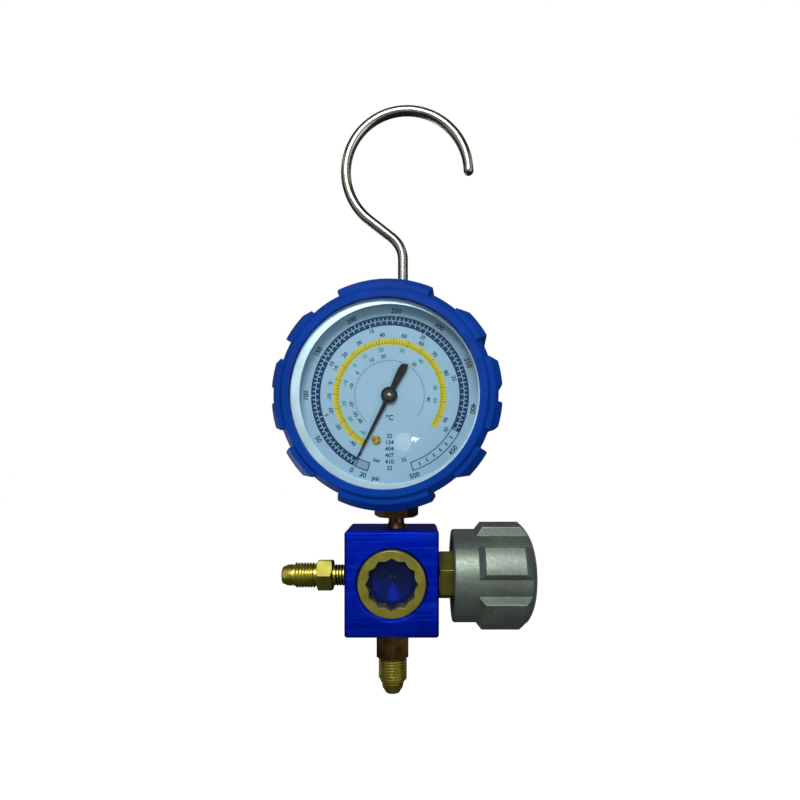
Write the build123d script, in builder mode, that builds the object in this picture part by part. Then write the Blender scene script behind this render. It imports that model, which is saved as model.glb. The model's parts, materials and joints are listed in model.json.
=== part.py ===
# Single-valve refrigerant manifold gauge. Millimetres, +Z up, front towards -Y.
# The origin is the point inside the top of the hook's loop that rests on a rod or nail.
from build123d import *
import os
from math import acos, atan2, cos, degrees, hypot, radians, sin, sqrt, tan

os.makedirs("parts", exist_ok=True)

# ---------------------------------------------------------------- driving dimensions
running_gap = 0.05  # radial gap of a shaft in its own bearing
thread_gap = 0.1  # radial gap between a moving thread and its bore
fit_gap = 0.1  # radial gap of a piece dropped into its pocket
overrun = 1.0  # how far a cut runs past the face that it opens
edge_break = 0.8  # chamfer on the block's edges

# Manifold block
block_width = 40.0
block_height = 45.0
block_depth = 30.0
passage_radius = 2.0
port_bore_depth = 10.0
valve_rise = 1.2  # hand valve and left port above the block's middle

# Gauge, hook and where they stand
gauge_rise = 57.7  # dial centre above the block's top
gauge_turn = 3.0  # the dial looks this many degrees to the left of the block's front
gauge_port_shift = 1.6  # gauge port to the right of the block's middle
gauge_stem_shift = 2.0  # gauge stem to the right of the dial's centre
hook_rise = 104.7  # centre of the hook's loop above the dial centre
hook_loop_radius = 28.2
hook_wire = 4.6
hook_throw = 2.0  # loop centre to the right of the stem
hook_stem_back = 8.0  # hook's stem behind the middle of the case
hook_stem_side = 4.4  # and to the right of the dial's centre
hook_bend_radius = 12.5
hook_wrap = 235.0  # how far round the loop goes
hook_tip_drop = 3.0  # the loop starts this many degrees below level
hook_thread_radius = 2.0
hook_thread_lead = 0.6  # thread shows this far past the nut
hook_tip_flat = 0.2
hook_washer_rim = 3.0
hook_washer_thickness = 1.2
hook_nut_flats = 8.0
hook_nut_thickness = 3.2

# Hand valve, along +X from the block's middle
chamber_radius = 4.0
chamber_end = -4.5
seat_height = 1.0
seat_wall = 0.8
bonnet_thread_radius = 6.0
bonnet_bore_end = 7.0
bonnet_across_flats = 19.0
bonnet_hex_length = 9.5
bonnet_hex_spin = 9.0  # a flat looks this far above straight ahead
bonnet_neck_radius = 6.5
bonnet_neck_length = 3.5
bonnet_seal_section = 1.6
bonnet_seal_bore = 0.9  # seal pocket round the thread
bonnet_edge = 0.5
spindle_thread_radius = 4.0
spindle_thread_length = 9.0
spindle_neck_radius = 2.6
spindle_shaft_radius = 3.3
spindle_end_radius = 3.0
spindle_flat = 2.2  # from the axis to the flat of the D
spindle_end_length = 11.0
spindle_end_lead = 0.5  # shaft shows this far past the bonnet
spindle_tap_depth = 9.0
spindle_cup_floor = 1.0
spindle_cup_taper = 0.6
spindle_thread_lead = 0.6
spindle_stop_gap = 1.1  # thread clear of the bonnet's step when open
valve_pitch = 1.5
valve_turns = 3.0
seat_disc_radius = 2.85
seat_disc_thickness = 2.2
seat_disc_stand_out = 0.6
spindle_cup_wall = 0.55
o_ring_section = 1.06
o_ring_gap = 0.02
o_ring_land = 0.4
o_ring_pitch = 2.6

# Knob
knob_gap = 6.3  # from the block to the knob's rim
knob_length = 36.5
knob_radius = 20.4
knob_lobe_radius = 23.65
knob_lobes = 6
knob_lobe_crest = 11.6  # width of a lobe at its top
knob_lobe_foot = 13.2  # and where it leaves the body
knob_lobe_spin = 25.4  # middle of the first lobe above straight ahead
knob_skirt_length = 10.2
knob_lobe_ramp = 2.6
knob_shoulder = 7.2  # length of the rounded end
knob_end_radius = 11.8  # flat of the rounded end
knob_end_drop = 0.7
knob_dome_depth = 3.2  # a point on the rounded end, from the very end
knob_dome_radius = 19.0
knob_lobe_root_fillet = 0.8
knob_lobe_crest_fillet = 0.5
knob_rim_edge = 0.6
knob_hub_gap = 0.3  # hub clear of the bonnet's side of the shaft
knob_wall = 3.0
knob_hub_radius = 7.5
knob_rib = 2.0
knob_rib_setback = 4.0  # ribs stand back from the hub's end
knob_floor = 11.5  # solid end of the knob
knob_cap_radius = 7.4
knob_cap_thickness = 1.6
knob_cap_set_in = 0.3
knob_cap_skirt = 3.0
knob_cap_skirt_wall = 0.9
knob_cap_round = 0.5
knob_washer_radius = 4.2
knob_washer_thickness = 0.8
knob_washer_recess = 0.3
knob_screw_radius = 2.0
knob_screw_head_radius = 3.8
knob_screw_head = 2.4
knob_screw_head_round = 0.9
knob_screw_grip = 7.0  # thread inside the spindle
knob_screw_slot = 0.9
knob_screw_slot_length = 4.0
knob_screw_slot_depth = 1.4
spindle_end_gap = 0.6  # the washer clears the spindle's end

# Sight glass, into the block's front face
retainer_radius = 14.65
retainer_length = 4.5
retainer_across_flats = 19.5
retainer_relief = 0.95  # countersink round the ring
retainer_edge = 0.5
sight_lens_radius = 12.4
sight_lens_thickness = 2.6
sight_seal_radius = 10.9
sight_seal_section = 1.2
sight_chamber_radius = 8.6
drill_point = 118.0

# Left port, 1/4 inch SAE male flare
thread_chamfer = 0.25
left_shank_radius = 4.75
left_shank = 6.5
left_across_flats = 13.0
left_hex = 6.8
left_hex_spin = 7.0
left_thread_radius = 11.11 / 2
left_thread = 10.8
left_nose_radius = 4.75
left_nose_tip_radius = 4.0
left_nose = 5.1
left_bore_radius = 2.4
flare_lip = 0.4  # flat left round the bore of a flare

# Bottom port, 5/16 inch SAE male flare
bottom_shank_radius = 5.2
bottom_shank = 1.0
bottom_across_flats = 14.0
bottom_hex = 11.3
bottom_thread_radius = 12.7 / 2
bottom_thread = 10.8
bottom_nose_radius = 4.95
bottom_nose_tip_radius = 3.4
bottom_nose = 5.3
bottom_bore_radius = 2.4

# Gauge stem, upwards from the block's top
stem_thread_radius = 4.6
stem_relief_radius = 3.5
stem_relief = 4.8
stem_across_flats = 17.0
stem_hex = 8.0
stem_collar_radius = 9.9
stem_hex_set_in = 1.0
stem_passage_radius = 1.6
socket_width = 16.0
socket_front = 2.0
socket_case_gap = 1.2  # socket's foot above the inside of the case
socket_tube_overlap = 4.0  # socket's top inside the tube's circle
restrictor_length = 4.0
restrictor_bore = 0.3
tube_slot_arc = 20.0  # the socket's slot for the tube
screw_hole_gap = 0.4  # a blind hole runs this far past its screw

# Gauge case, depths are from the stem's axis towards the viewer
case_radius = 40.0
case_wall = 0.8
case_back = -14.0
case_front = 14.6
case_flange = 1.1  # flange beyond the case's wall
case_corner = 2.0
dial_ledge = 2.0
dial_recess = 2.6  # dial's face behind the flange
dial_thickness = 0.8
dial_spacer_wall = 0.7
lens_gasket_thickness = 0.6
gauge_lens_thickness = 1.8
bezel_wall = 0.8
bezel_edge = 0.8
bezel_lip = 4.5  # from the bezel's rim to its window
case_screw_radius = 1.6
case_screw_spread = 9.0
case_screw_drop = 2.3  # below the socket's top
case_screw_length = 2.4  # into the socket
case_screw_head = 1.8
case_screw_head_radius = 3.1
case_screw_head_round = 0.9
case_screw_slot = 0.9
small_screw_radius = 0.8
small_screw_length = 2.5
small_screw_head = 1.0
foot_screw_drop = 2.5

# Rubber boot
boot_slip = 1.2  # the boot sits this far to the left on its case
boot_roll = 1.9  # and turned clockwise by this many degrees
boot_lip = 3.2  # rubber in front of the bezel
boot_floor = 3.0  # rubber behind the case
boot_wall = 4.0  # from the bezel's rim to the outside
boot_lobe_height = 3.4
boot_window_lap = 2.2  # the lip reaches this far over the bezel
boot_ring = 3.5  # flat front ring round the window
boot_shoulder = 5.0
boot_back_lap = 7.0  # the back reaches this far over the case
boot_wide_lobe = 24.6  # half the angle of the top and bottom lobes
boot_small_lobes = ((40.9, 46.2, 60.6), (70.9, 73.7, 86.0))  # from the top: foot, top and end
boot_lobe_back = 3.0  # lobes start this far in front of the boot's back
boot_lobe_slope = 3.0  # and rise over this length
boot_lobe_taper = 6.0  # and fall over this length behind the front
boot_side_fill = 1.5  # height between the lobes at each side
boot_side_angle = 5.0  # half the angle that it fills
boot_lobe_end = 1.5  # lobes end this far behind the boot's front
boot_lobe_round = 0.8
boot_back_edge = 2.0
boot_front_edge = 0.5
boot_hole_gap = 0.3

# Movement
gear_module = 0.25
pinion_teeth = 14
sector_full_teeth = 112
sector_teeth = 16
pressure_angle = 20.0
tooth_addendum = 0.8
tooth_dedendum = 1.25
tooth_backlash = 0.05
pinion_gap = 1.0  # pinion in front of the rear plate
pinion_thickness = 1.8
sector_setback = 0.4  # sector's back in front of the pinion's
sector_thickness = 1.0
sector_rim = 2.6
sector_tail = 7.5
pointer_low = 10.72  # the pointer's travel below zero
pointer_high = 315.52  # and above it
zero_clock = 207.0  # clock angle of the zero mark
plate_thickness = 1.2
pillar_radius = 1.5
pillar_length = 5.2
pivot_radius = 0.6
arbor_radius = 0.9
link_thickness = 0.7
link_width = 3.6
link_pin_radius = 0.7
link_slot_gap = 0.45
link_slot_spare = 0.6
link_slot_width = 4.0
link_side_gap = 0.15
link_pin_end = 0.5
link_bar = 1.8
link_eye_radius = 1.5
plate_boss = 3.0
plate_foot = 5.0
plate_foot_rise = 0.5  # above the socket
plate_web = 8.0
plate_web_width = 11.2
sector_setting = 0.8  # the rim runs this share of a tooth past its teeth
sector_arm_set_in = 1.2
sector_arm_angle = 40.0
sector_arm_root = 2.0
sector_boss = 2.8
sector_tail_half = 1.3
sector_window_angle = 8.0
sector_window_set_in = 1.0
sector_window_root = 4.6
arbor_edge = 0.25
spring_gap = 0.5
spring_turns = 3.25
spring_points = 10  # drawn points in each turn
spring_inner = 1.75
spring_outer = 5.2
spring_thickness = 0.16
spring_height = 0.7

# Bourdon tube
tube_case_gap = 8.2  # tube's middle line inside the case's wall
tube_width = 9.0
tube_depth = 3.0
tube_wall = 0.35
tube_edge_flat = 0.05
tube_back_gap = 2.7  # behind the tube
tube_start = 189.5  # clock angles, measured clockwise from the top
tube_sweep = 288.0
tube_tip_sweep = 9.0
tube_tip_overlap = 2.0
tube_tip_wall = 0.6
tip_pin_inset = 1.5  # inside the tube's middle line
tip_pin_share = 0.6  # how far along the bare end of the tip

# Pointer and dial furniture
pointer_gap = 1.1  # pointer in front of the dial
pointer_thickness = 0.4
pointer_reach = 30.5
pointer_tail = 15.2
pointer_disc_radius = 3.5
pointer_hub_radius = 2.7
pointer_hub_length = 1.0
needle_root = 0.95  # half widths of the needle
needle_tip = 0.3
tail_root = 0.9
tail_head = 1.75
tail_neck_at = 11.4  # the tail's arrow, from the arbor
tail_barb_at = 13.7
tail_notch_at = 14.1
tail_end_half = 1.2
pointer_hub_edge = 0.5
zero_screw_right = -5.6
zero_screw_up = -19.1
zero_screw_radius = 1.9
zero_screw_head = 0.8
zero_screw_edge = 0.25
zero_screw_gap = 0.02
zero_screw_shank = 1.2
zero_screw_rivet = 1.7
zero_screw_rivet_length = 0.7
zero_screw_slot = 0.7
zero_screw_slot_depth = 0.5
zero_screw_slot_turn = 25.0
dial_hole = 3.0

# ---------------------------------------------------------------- sizes that follow
case_inner = case_radius - case_wall
case_flange_radius = case_radius + case_flange
flange_back = case_front - case_wall
bezel_inner = case_flange_radius + fit_gap
bezel_radius = bezel_inner + bezel_wall
bezel_window_radius = bezel_radius - bezel_lip
dial_face = case_front - dial_recess
dial_back = dial_face - dial_thickness
lens_rear = case_front + lens_gasket_thickness
lens_front = lens_rear + gauge_lens_thickness
bezel_front = lens_front + bezel_wall
tube_radius = case_inner - tube_case_gap
tube_middle = case_back + case_wall + tube_back_gap + tube_width / 2
tip_pin_radial = tube_radius - tip_pin_inset
socket_bottom = socket_case_gap - case_inner  # from the dial centre
socket_top = socket_tube_overlap - tube_radius
case_screw_height = socket_top - case_screw_drop
plate_back = socket_front
gear_side = plate_back + plate_thickness
front_plate_back = gear_side + pillar_length
pinion_back = gear_side + pinion_gap
sector_back = pinion_back + sector_setback
pointer_back = dial_face + pointer_gap
hub_front = pointer_back + pointer_hub_length
boot_front = bezel_front + boot_lip
boot_back = case_back - boot_floor
boot_radius = bezel_radius + boot_wall
boot_lobe_radius = boot_radius + boot_lobe_height
boot_window_radius = bezel_radius - boot_window_lap
boot_ring_radius = boot_window_radius + boot_ring
boot_back_opening = case_radius - boot_back_lap

# ---------------------------------------------------------------- places and planes
turn = radians(gauge_turn)
gauge_front = Vector(-sin(turn), -cos(turn), 0)
gauge_right = Vector(cos(turn), -sin(turn), 0)
upwards = Vector(0, 0, 1)
loop_z = -(hook_loop_radius - hook_wire / 2)
gauge_z = loop_z - hook_rise
block_z = gauge_z - gauge_rise - block_height / 2
hook_stem = Vector(-hook_throw, 0, gauge_z)
gauge_centre = hook_stem - gauge_right * hook_stem_side + gauge_front * hook_stem_back
neck_centre = gauge_centre + gauge_right * gauge_stem_shift
half_width, half_height, half_depth = block_width / 2, block_height / 2, block_depth / 2

block_centre = Vector(neck_centre.X - gauge_port_shift, neck_centre.Y, block_z)
valve_centre = block_centre + upwards * valve_rise
boot_centre = gauge_centre - gauge_right * boot_slip

front_plane = Plane(block_centre, x_dir=(1, 0, 0), z_dir=(0, -1, 0))
right_plane = Plane(valve_centre, x_dir=(0, 1, 0), z_dir=(1, 0, 0))
left_plane = Plane(valve_centre, x_dir=(0, -1, 0), z_dir=(-1, 0, 0))
down_plane = Plane(block_centre, x_dir=(1, 0, 0), z_dir=(0, 0, -1))
neck_plane = Plane((neck_centre.X, neck_centre.Y, block_z), x_dir=(1, 0, 0), z_dir=upwards)
dial_plane = Plane(gauge_centre, x_dir=gauge_right, z_dir=gauge_front)
boot_plane = Plane(boot_centre, x_dir=gauge_right, z_dir=gauge_front).rotated((0, 0, -boot_roll))
stem_plane = Plane(neck_centre, x_dir=gauge_right, z_dir=upwards)
hook_plane = Plane(hook_stem, x_dir=(1, 0, 0), z_dir=upwards)
loop_plane = Plane((0, 0, 0), x_dir=(1, 0, 0), z_dir=(0, -1, 0))


# ---------------------------------------------------------------- shared shapes
def turn_profile(face, *points, mode=Mode.ADD):
    """Turn a closed outline of (distance, radius) points about a face plane's normal."""
    side = Plane(face.origin, x_dir=face.z_dir, z_dir=face.x_dir)
    with BuildSketch(side) as outline:
        with BuildLine():
            Polyline(*points, close=True)
        make_face()
    revolve(outline.sketch, axis=Axis(face.origin, face.z_dir), mode=mode)


def disc(face, radius, start, end, mode=Mode.ADD):
    """A plain cylinder along a face plane's normal."""
    turn_profile(face, (start, 0), (start, radius), (end, radius), (end, 0), mode=mode)


def ring(face, inner, outer, start, end, mode=Mode.ADD):
    """A plain tube along a face plane's normal."""
    turn_profile(face, (start, inner), (start, outer), (end, outer), (end, inner), mode=mode)


def hex_bar(face, across_flats, start, end, spin=0.0, bevel=0.6):
    """A hexagon with turned 30 degree bevels, the first shape of its piece."""
    corner = across_flats / sqrt(3)
    bevel_radius = across_flats / 2 * 0.98
    bevel_length = (corner - bevel_radius) * tan(radians(30))
    with BuildSketch(face.offset(start)) as hexagon:
        RegularPolygon(corner, 6, rotation=spin)
    extrude(hexagon.sketch, amount=end - start)
    turn_profile(
        face,
        (start, 0),
        (start, bevel_radius),
        (start + bevel_length, corner),
        (end - bevel_length, corner),
        (end, bevel_radius),
        (end, 0),
        mode=Mode.INTERSECT,
    )


def o_ring(face, distance, radius, section):
    """A round ring about a face plane's normal."""
    side = Plane(face.origin, x_dir=face.z_dir, z_dir=face.x_dir)
    with BuildSketch(side) as section_sketch:
        with Locations((distance, radius)):
            Circle(section / 2)
    revolve(section_sketch.sketch, axis=Axis(face.origin, face.z_dir))


def on_clock(angle, radius):
    """A dial point from its clock angle, clockwise from the top."""
    return (radius * sin(radians(angle)), radius * cos(radians(angle)))


def polar(angle, radius, centre=(0, 0)):
    """A point from an angle anticlockwise from the right."""
    return (
        centre[0] + radius * cos(radians(angle)),
        centre[1] + radius * sin(radians(angle)),
    )


def tooth_points(teeth, middle, centre=(0, 0)):
    """Outline of one involute tooth, root to root, anticlockwise."""
    pitch_radius = gear_module * teeth / 2
    base_radius = pitch_radius * cos(radians(pressure_angle))
    tip_radius = pitch_radius + tooth_addendum * gear_module
    root_radius = pitch_radius - tooth_dedendum * gear_module
    half_pitch = 90 / teeth - degrees(tooth_backlash / 2 / pitch_radius)

    def half_angle(radius):
        def involute(at):
            slope = acos(min(1, base_radius / at))
            return degrees(tan(slope) - slope)

        return half_pitch + involute(pitch_radius) - involute(max(radius, base_radius))

    low = max(root_radius, base_radius)
    flank = [low, (low + tip_radius) / 2, tip_radius]
    if root_radius < base_radius:
        flank.insert(0, root_radius)
    rising = [polar(middle - half_angle(radius), radius, centre) for radius in flank]
    falling = [polar(middle + half_angle(radius), radius, centre) for radius in reversed(flank)]
    return rising + falling


# ---------------------------------------------------------------- manifold block
valve_start = half_width + knob_gap  # knob rim from the block's middle
lens_back = half_depth - retainer_length - sight_lens_thickness
drill_depth = sight_chamber_radius / tan(radians(drill_point / 2))

with BuildPart() as manifold_block:
    with BuildSketch(front_plane.offset(-half_depth)):
        Rectangle(block_width, block_height)
    extrude(amount=block_depth)
    chamfer(manifold_block.edges(), edge_break)
    # Valve bore, seat and left port in one line
    turn_profile(
        right_plane,
        (-half_width - overrun, 0),
        (-half_width - overrun, left_shank_radius),
        (-half_width + port_bore_depth, left_shank_radius),
        (-half_width + port_bore_depth, passage_radius),
        (chamber_end + seat_height, passage_radius),
        (chamber_end + seat_height, passage_radius + seat_wall),
        (chamber_end, passage_radius + seat_wall),
        (chamber_end, chamber_radius),
        (bonnet_bore_end, chamber_radius),
        (bonnet_bore_end, bonnet_thread_radius),
        (half_width - bonnet_seal_section, bonnet_thread_radius),
        (half_width - bonnet_seal_section, bonnet_thread_radius + bonnet_seal_bore),
        (half_width + overrun, bonnet_thread_radius + bonnet_seal_bore),
        (half_width + overrun, 0),
        mode=Mode.SUBTRACT,
    )
    # Sight glass pocket, seal groove and drilled chamber
    turn_profile(
        front_plane,
        (half_depth + overrun, 0),
        (half_depth + overrun, retainer_radius + fit_gap + retainer_relief + overrun),
        (half_depth, retainer_radius + fit_gap + retainer_relief),
        (half_depth - retainer_relief, retainer_radius + fit_gap),
        (half_depth - retainer_length, retainer_radius + fit_gap),
        (half_depth - retainer_length, sight_lens_radius + fit_gap),
        (lens_back, sight_lens_radius + fit_gap),
        (lens_back, sight_chamber_radius),
        (lens_back - drill_depth, 0),
        mode=Mode.SUBTRACT,
    )
    ring(
        front_plane,
        sight_seal_radius - sight_seal_section / 2,
        sight_seal_radius + sight_seal_section / 2,
        lens_back - sight_seal_section,
        lens_back + fit_gap,
        mode=Mode.SUBTRACT,
    )
    # Gauge port and bottom port
    disc(neck_plane, stem_thread_radius, half_height - port_bore_depth, half_height + overrun, Mode.SUBTRACT)
    disc(neck_plane, stem_passage_radius, 0, half_height, Mode.SUBTRACT)
    disc(down_plane, bottom_shank_radius, half_height - port_bore_depth, half_height + overrun, Mode.SUBTRACT)
    disc(down_plane, passage_radius, 0, half_height, Mode.SUBTRACT)
manifold_block.part.label = "manifold_block"
export_step(manifold_block.part, "parts/manifold_block.step")


# ---------------------------------------------------------------- flare fittings
def flare_fitting(face, block_face, shank_radius, shank, across_flats, hexagon, spin,
                  thread_radius, thread, nose_radius, nose_tip_radius, nose, bore):
    """Hex adapter with a male flare, its spigot in the block."""
    hex_start = block_face + shank
    hex_end = hex_start + hexagon
    thread_end = hex_end + thread
    nose_end = thread_end + nose
    rounding = nose_tip_radius - bore - flare_lip
    hex_bar(face, across_flats, hex_start, hex_end, spin)
    turn_profile(
        face,
        (block_face - port_bore_depth, 0),
        (block_face - port_bore_depth, shank_radius),
        (hex_start, shank_radius),
        (hex_start, thread_radius),
        (thread_end - thread_chamfer, thread_radius),
        (thread_end, nose_radius),
        (nose_end - rounding, nose_tip_radius),
        (nose_end, nose_tip_radius - rounding),
        (nose_end, 0),
    )
    disc(face, bore, block_face - port_bore_depth, nose_end, Mode.SUBTRACT)


with BuildPart() as left_flare_fitting:
    flare_fitting(
        left_plane, half_width, left_shank_radius, left_shank, left_across_flats, left_hex,
        left_hex_spin, left_thread_radius, left_thread, left_nose_radius,
        left_nose_tip_radius, left_nose, left_bore_radius,
    )
left_flare_fitting.part.label = "left_flare_fitting"
export_step(left_flare_fitting.part, "parts/left_flare_fitting.step")

with BuildPart() as bottom_flare_fitting:
    flare_fitting(
        down_plane, half_height, bottom_shank_radius, bottom_shank, bottom_across_flats,
        bottom_hex, 0, bottom_thread_radius, bottom_thread, bottom_nose_radius,
        bottom_nose_tip_radius, bottom_nose, bottom_bore_radius,
    )
bottom_flare_fitting.part.label = "bottom_flare_fitting"
export_step(bottom_flare_fitting.part, "parts/bottom_flare_fitting.step")

# ---------------------------------------------------------------- sight glass
with BuildPart() as sight_glass_retainer:
    disc(front_plane, retainer_radius, half_depth - retainer_length, half_depth)
    chamfer(sight_glass_retainer.edges().filter_by(GeomType.CIRCLE).sort_by(Axis.Y)[0], retainer_edge)
    with BuildSketch(front_plane.offset(half_depth - retainer_length)) as twelve_points:
        RegularPolygon(retainer_across_flats / sqrt(3), 6)
        RegularPolygon(retainer_across_flats / sqrt(3), 6, rotation=30)
    extrude(twelve_points.sketch, amount=retainer_length, mode=Mode.SUBTRACT)
sight_glass_retainer.part.label = "sight_glass_retainer"
export_step(sight_glass_retainer.part, "parts/sight_glass_retainer.step")

with BuildPart() as sight_glass_lens:
    disc(front_plane, sight_lens_radius, lens_back, lens_back + sight_lens_thickness)
sight_glass_lens.part.label = "sight_glass_lens"
export_step(sight_glass_lens.part, "parts/sight_glass_lens.step")

with BuildPart() as sight_glass_seal:
    o_ring(front_plane, lens_back - sight_seal_section / 2, sight_seal_radius, sight_seal_section)
sight_glass_seal.part.label = "sight_glass_seal"
export_step(sight_glass_seal.part, "parts/sight_glass_seal.step")

# ---------------------------------------------------------------- valve bonnet and its seal
hex_end = half_width + bonnet_hex_length
bonnet_end = hex_end + bonnet_neck_length
valve_lift = valve_pitch * valve_turns
spindle_thread_start = bonnet_bore_end + spindle_thread_lead
spindle_thread_end = spindle_thread_start + spindle_thread_length
bonnet_step = spindle_thread_end + valve_lift + spindle_stop_gap

with BuildPart() as valve_bonnet:
    hex_bar(right_plane, bonnet_across_flats, half_width, hex_end, bonnet_hex_spin - 30)
    turn_profile(
        right_plane,
        (bonnet_bore_end + fit_gap, 0),
        (bonnet_bore_end + fit_gap, bonnet_thread_radius),
        (half_width - bonnet_seal_section, bonnet_thread_radius),
        (half_width - bonnet_seal_section, bonnet_thread_radius - bonnet_seal_section / 2),
        (half_width, bonnet_thread_radius - bonnet_seal_section / 2),
        (hex_end, bonnet_thread_radius),
        (hex_end, bonnet_neck_radius),
        (bonnet_end - bonnet_edge, bonnet_neck_radius),
        (bonnet_end, bonnet_neck_radius - bonnet_edge),
        (bonnet_end, 0),
    )
    disc(right_plane, spindle_thread_radius + thread_gap, 0, bonnet_step, Mode.SUBTRACT)
    disc(right_plane, spindle_shaft_radius + thread_gap, 0, bonnet_end, Mode.SUBTRACT)
valve_bonnet.part.label = "valve_bonnet"
export_step(valve_bonnet.part, "parts/valve_bonnet.step")

with BuildPart() as bonnet_seal:
    o_ring(right_plane, half_width - bonnet_seal_section / 2, bonnet_thread_radius, bonnet_seal_section)
bonnet_seal.part.label = "bonnet_seal"
export_step(bonnet_seal.part, "parts/bonnet_seal.step")

# ---------------------------------------------------------------- valve spindle and its seals
seat_face = chamber_end + seat_height
cup_start = seat_face + seat_disc_stand_out
disc_back = seat_face + seat_disc_thickness
cup_end = disc_back + spindle_cup_floor
shaft_end = bonnet_end + spindle_end_lead
spindle_end = shaft_end + spindle_end_length
o_ring_centre_radius = spindle_shaft_radius + thread_gap - o_ring_gap - o_ring_section / 2
groove_radius = o_ring_centre_radius - o_ring_section / 2 - o_ring_gap
groove_width = o_ring_section + 2 * o_ring_gap
inner_o_ring_at = bonnet_step + o_ring_section + o_ring_land
outer_o_ring_at = inner_o_ring_at + o_ring_pitch

with BuildPart() as valve_spindle:
    turn_profile(
        right_plane,
        (cup_start, 0),
        (cup_start, seat_disc_radius + spindle_cup_wall),
        (cup_end, seat_disc_radius + spindle_cup_wall),
        (cup_end + spindle_cup_taper, spindle_neck_radius),
        (spindle_thread_start, spindle_neck_radius),
        (spindle_thread_start, spindle_thread_radius),
        (spindle_thread_end, spindle_thread_radius),
        (spindle_thread_end, spindle_shaft_radius),
        (shaft_end, spindle_shaft_radius),
        (shaft_end, spindle_end_radius),
        (spindle_end, spindle_end_radius),
        (spindle_end, 0),
    )
    disc(right_plane, seat_disc_radius + o_ring_gap, cup_start, disc_back, Mode.SUBTRACT)
    for at in (inner_o_ring_at, outer_o_ring_at):
        ring(
            right_plane, groove_radius, spindle_shaft_radius + thread_gap,
            at - groove_width / 2, at + groove_width / 2, Mode.SUBTRACT,
        )
    disc(right_plane, knob_screw_radius, spindle_end - spindle_tap_depth, spindle_end, Mode.SUBTRACT)
    # Flat of the D that turns the spindle with the knob
    with BuildSketch(right_plane.offset(shaft_end)) as flat:
        with Locations((0, spindle_flat + spindle_end_radius)):
            Rectangle(4 * spindle_end_radius, 2 * spindle_end_radius)
    extrude(flat.sketch, amount=spindle_end_length, mode=Mode.SUBTRACT)
valve_spindle.part.label = "valve_spindle"
export_step(valve_spindle.part, "parts/valve_spindle.step")

with BuildPart() as spindle_seat_disc:
    disc(right_plane, seat_disc_radius, seat_face, disc_back - o_ring_gap)
spindle_seat_disc.part.label = "spindle_seat_disc"
export_step(spindle_seat_disc.part, "parts/spindle_seat_disc.step")

with BuildPart() as spindle_inner_o_ring:
    o_ring(right_plane, inner_o_ring_at, o_ring_centre_radius, o_ring_section)
spindle_inner_o_ring.part.label = "spindle_inner_o_ring"
export_step(spindle_inner_o_ring.part, "parts/spindle_inner_o_ring.step")

with BuildPart() as spindle_outer_o_ring:
    o_ring(right_plane, outer_o_ring_at, o_ring_centre_radius, o_ring_section)
spindle_outer_o_ring.part.label = "spindle_outer_o_ring"
export_step(spindle_outer_o_ring.part, "parts/spindle_outer_o_ring.step")

# ---------------------------------------------------------------- knob
knob_end = valve_start + knob_length
lobe_start = valve_start + knob_skirt_length
lobe_full = lobe_start + knob_lobe_ramp
shoulder_start = knob_end - knob_shoulder
hub_start = shaft_end + knob_hub_gap
rib_start = hub_start + knob_rib_setback
cavity_end = knob_end - knob_floor
cavity_radius = knob_radius - knob_wall
first_lobe = 180 - knob_lobe_spin
lobe_flank = (knob_lobe_foot - knob_lobe_crest) / 2 / (knob_lobe_radius - knob_radius)
screw_face = spindle_end + spindle_end_gap  # where the washer sits
recess_radius = knob_washer_radius + knob_washer_recess

knob_side = Plane(valve_centre, x_dir=(1, 0, 0), z_dir=(0, 1, 0))


def knob_envelope(*start):
    """Face under the lobes' crests and the rounded end, its first points given."""
    dome_middle = (knob_end - knob_dome_depth, knob_dome_radius)
    dome_end = (knob_end - knob_end_drop, knob_end_radius)
    with BuildLine() as outline:
        Polyline((knob_end, 0), (start[0][0], 0), *start, (shoulder_start, knob_lobe_radius))
        ThreePointArc((shoulder_start, knob_lobe_radius), dome_middle, dome_end)
        Line(dome_end, (knob_end, 0))
    make_face(outline.edges())


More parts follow.
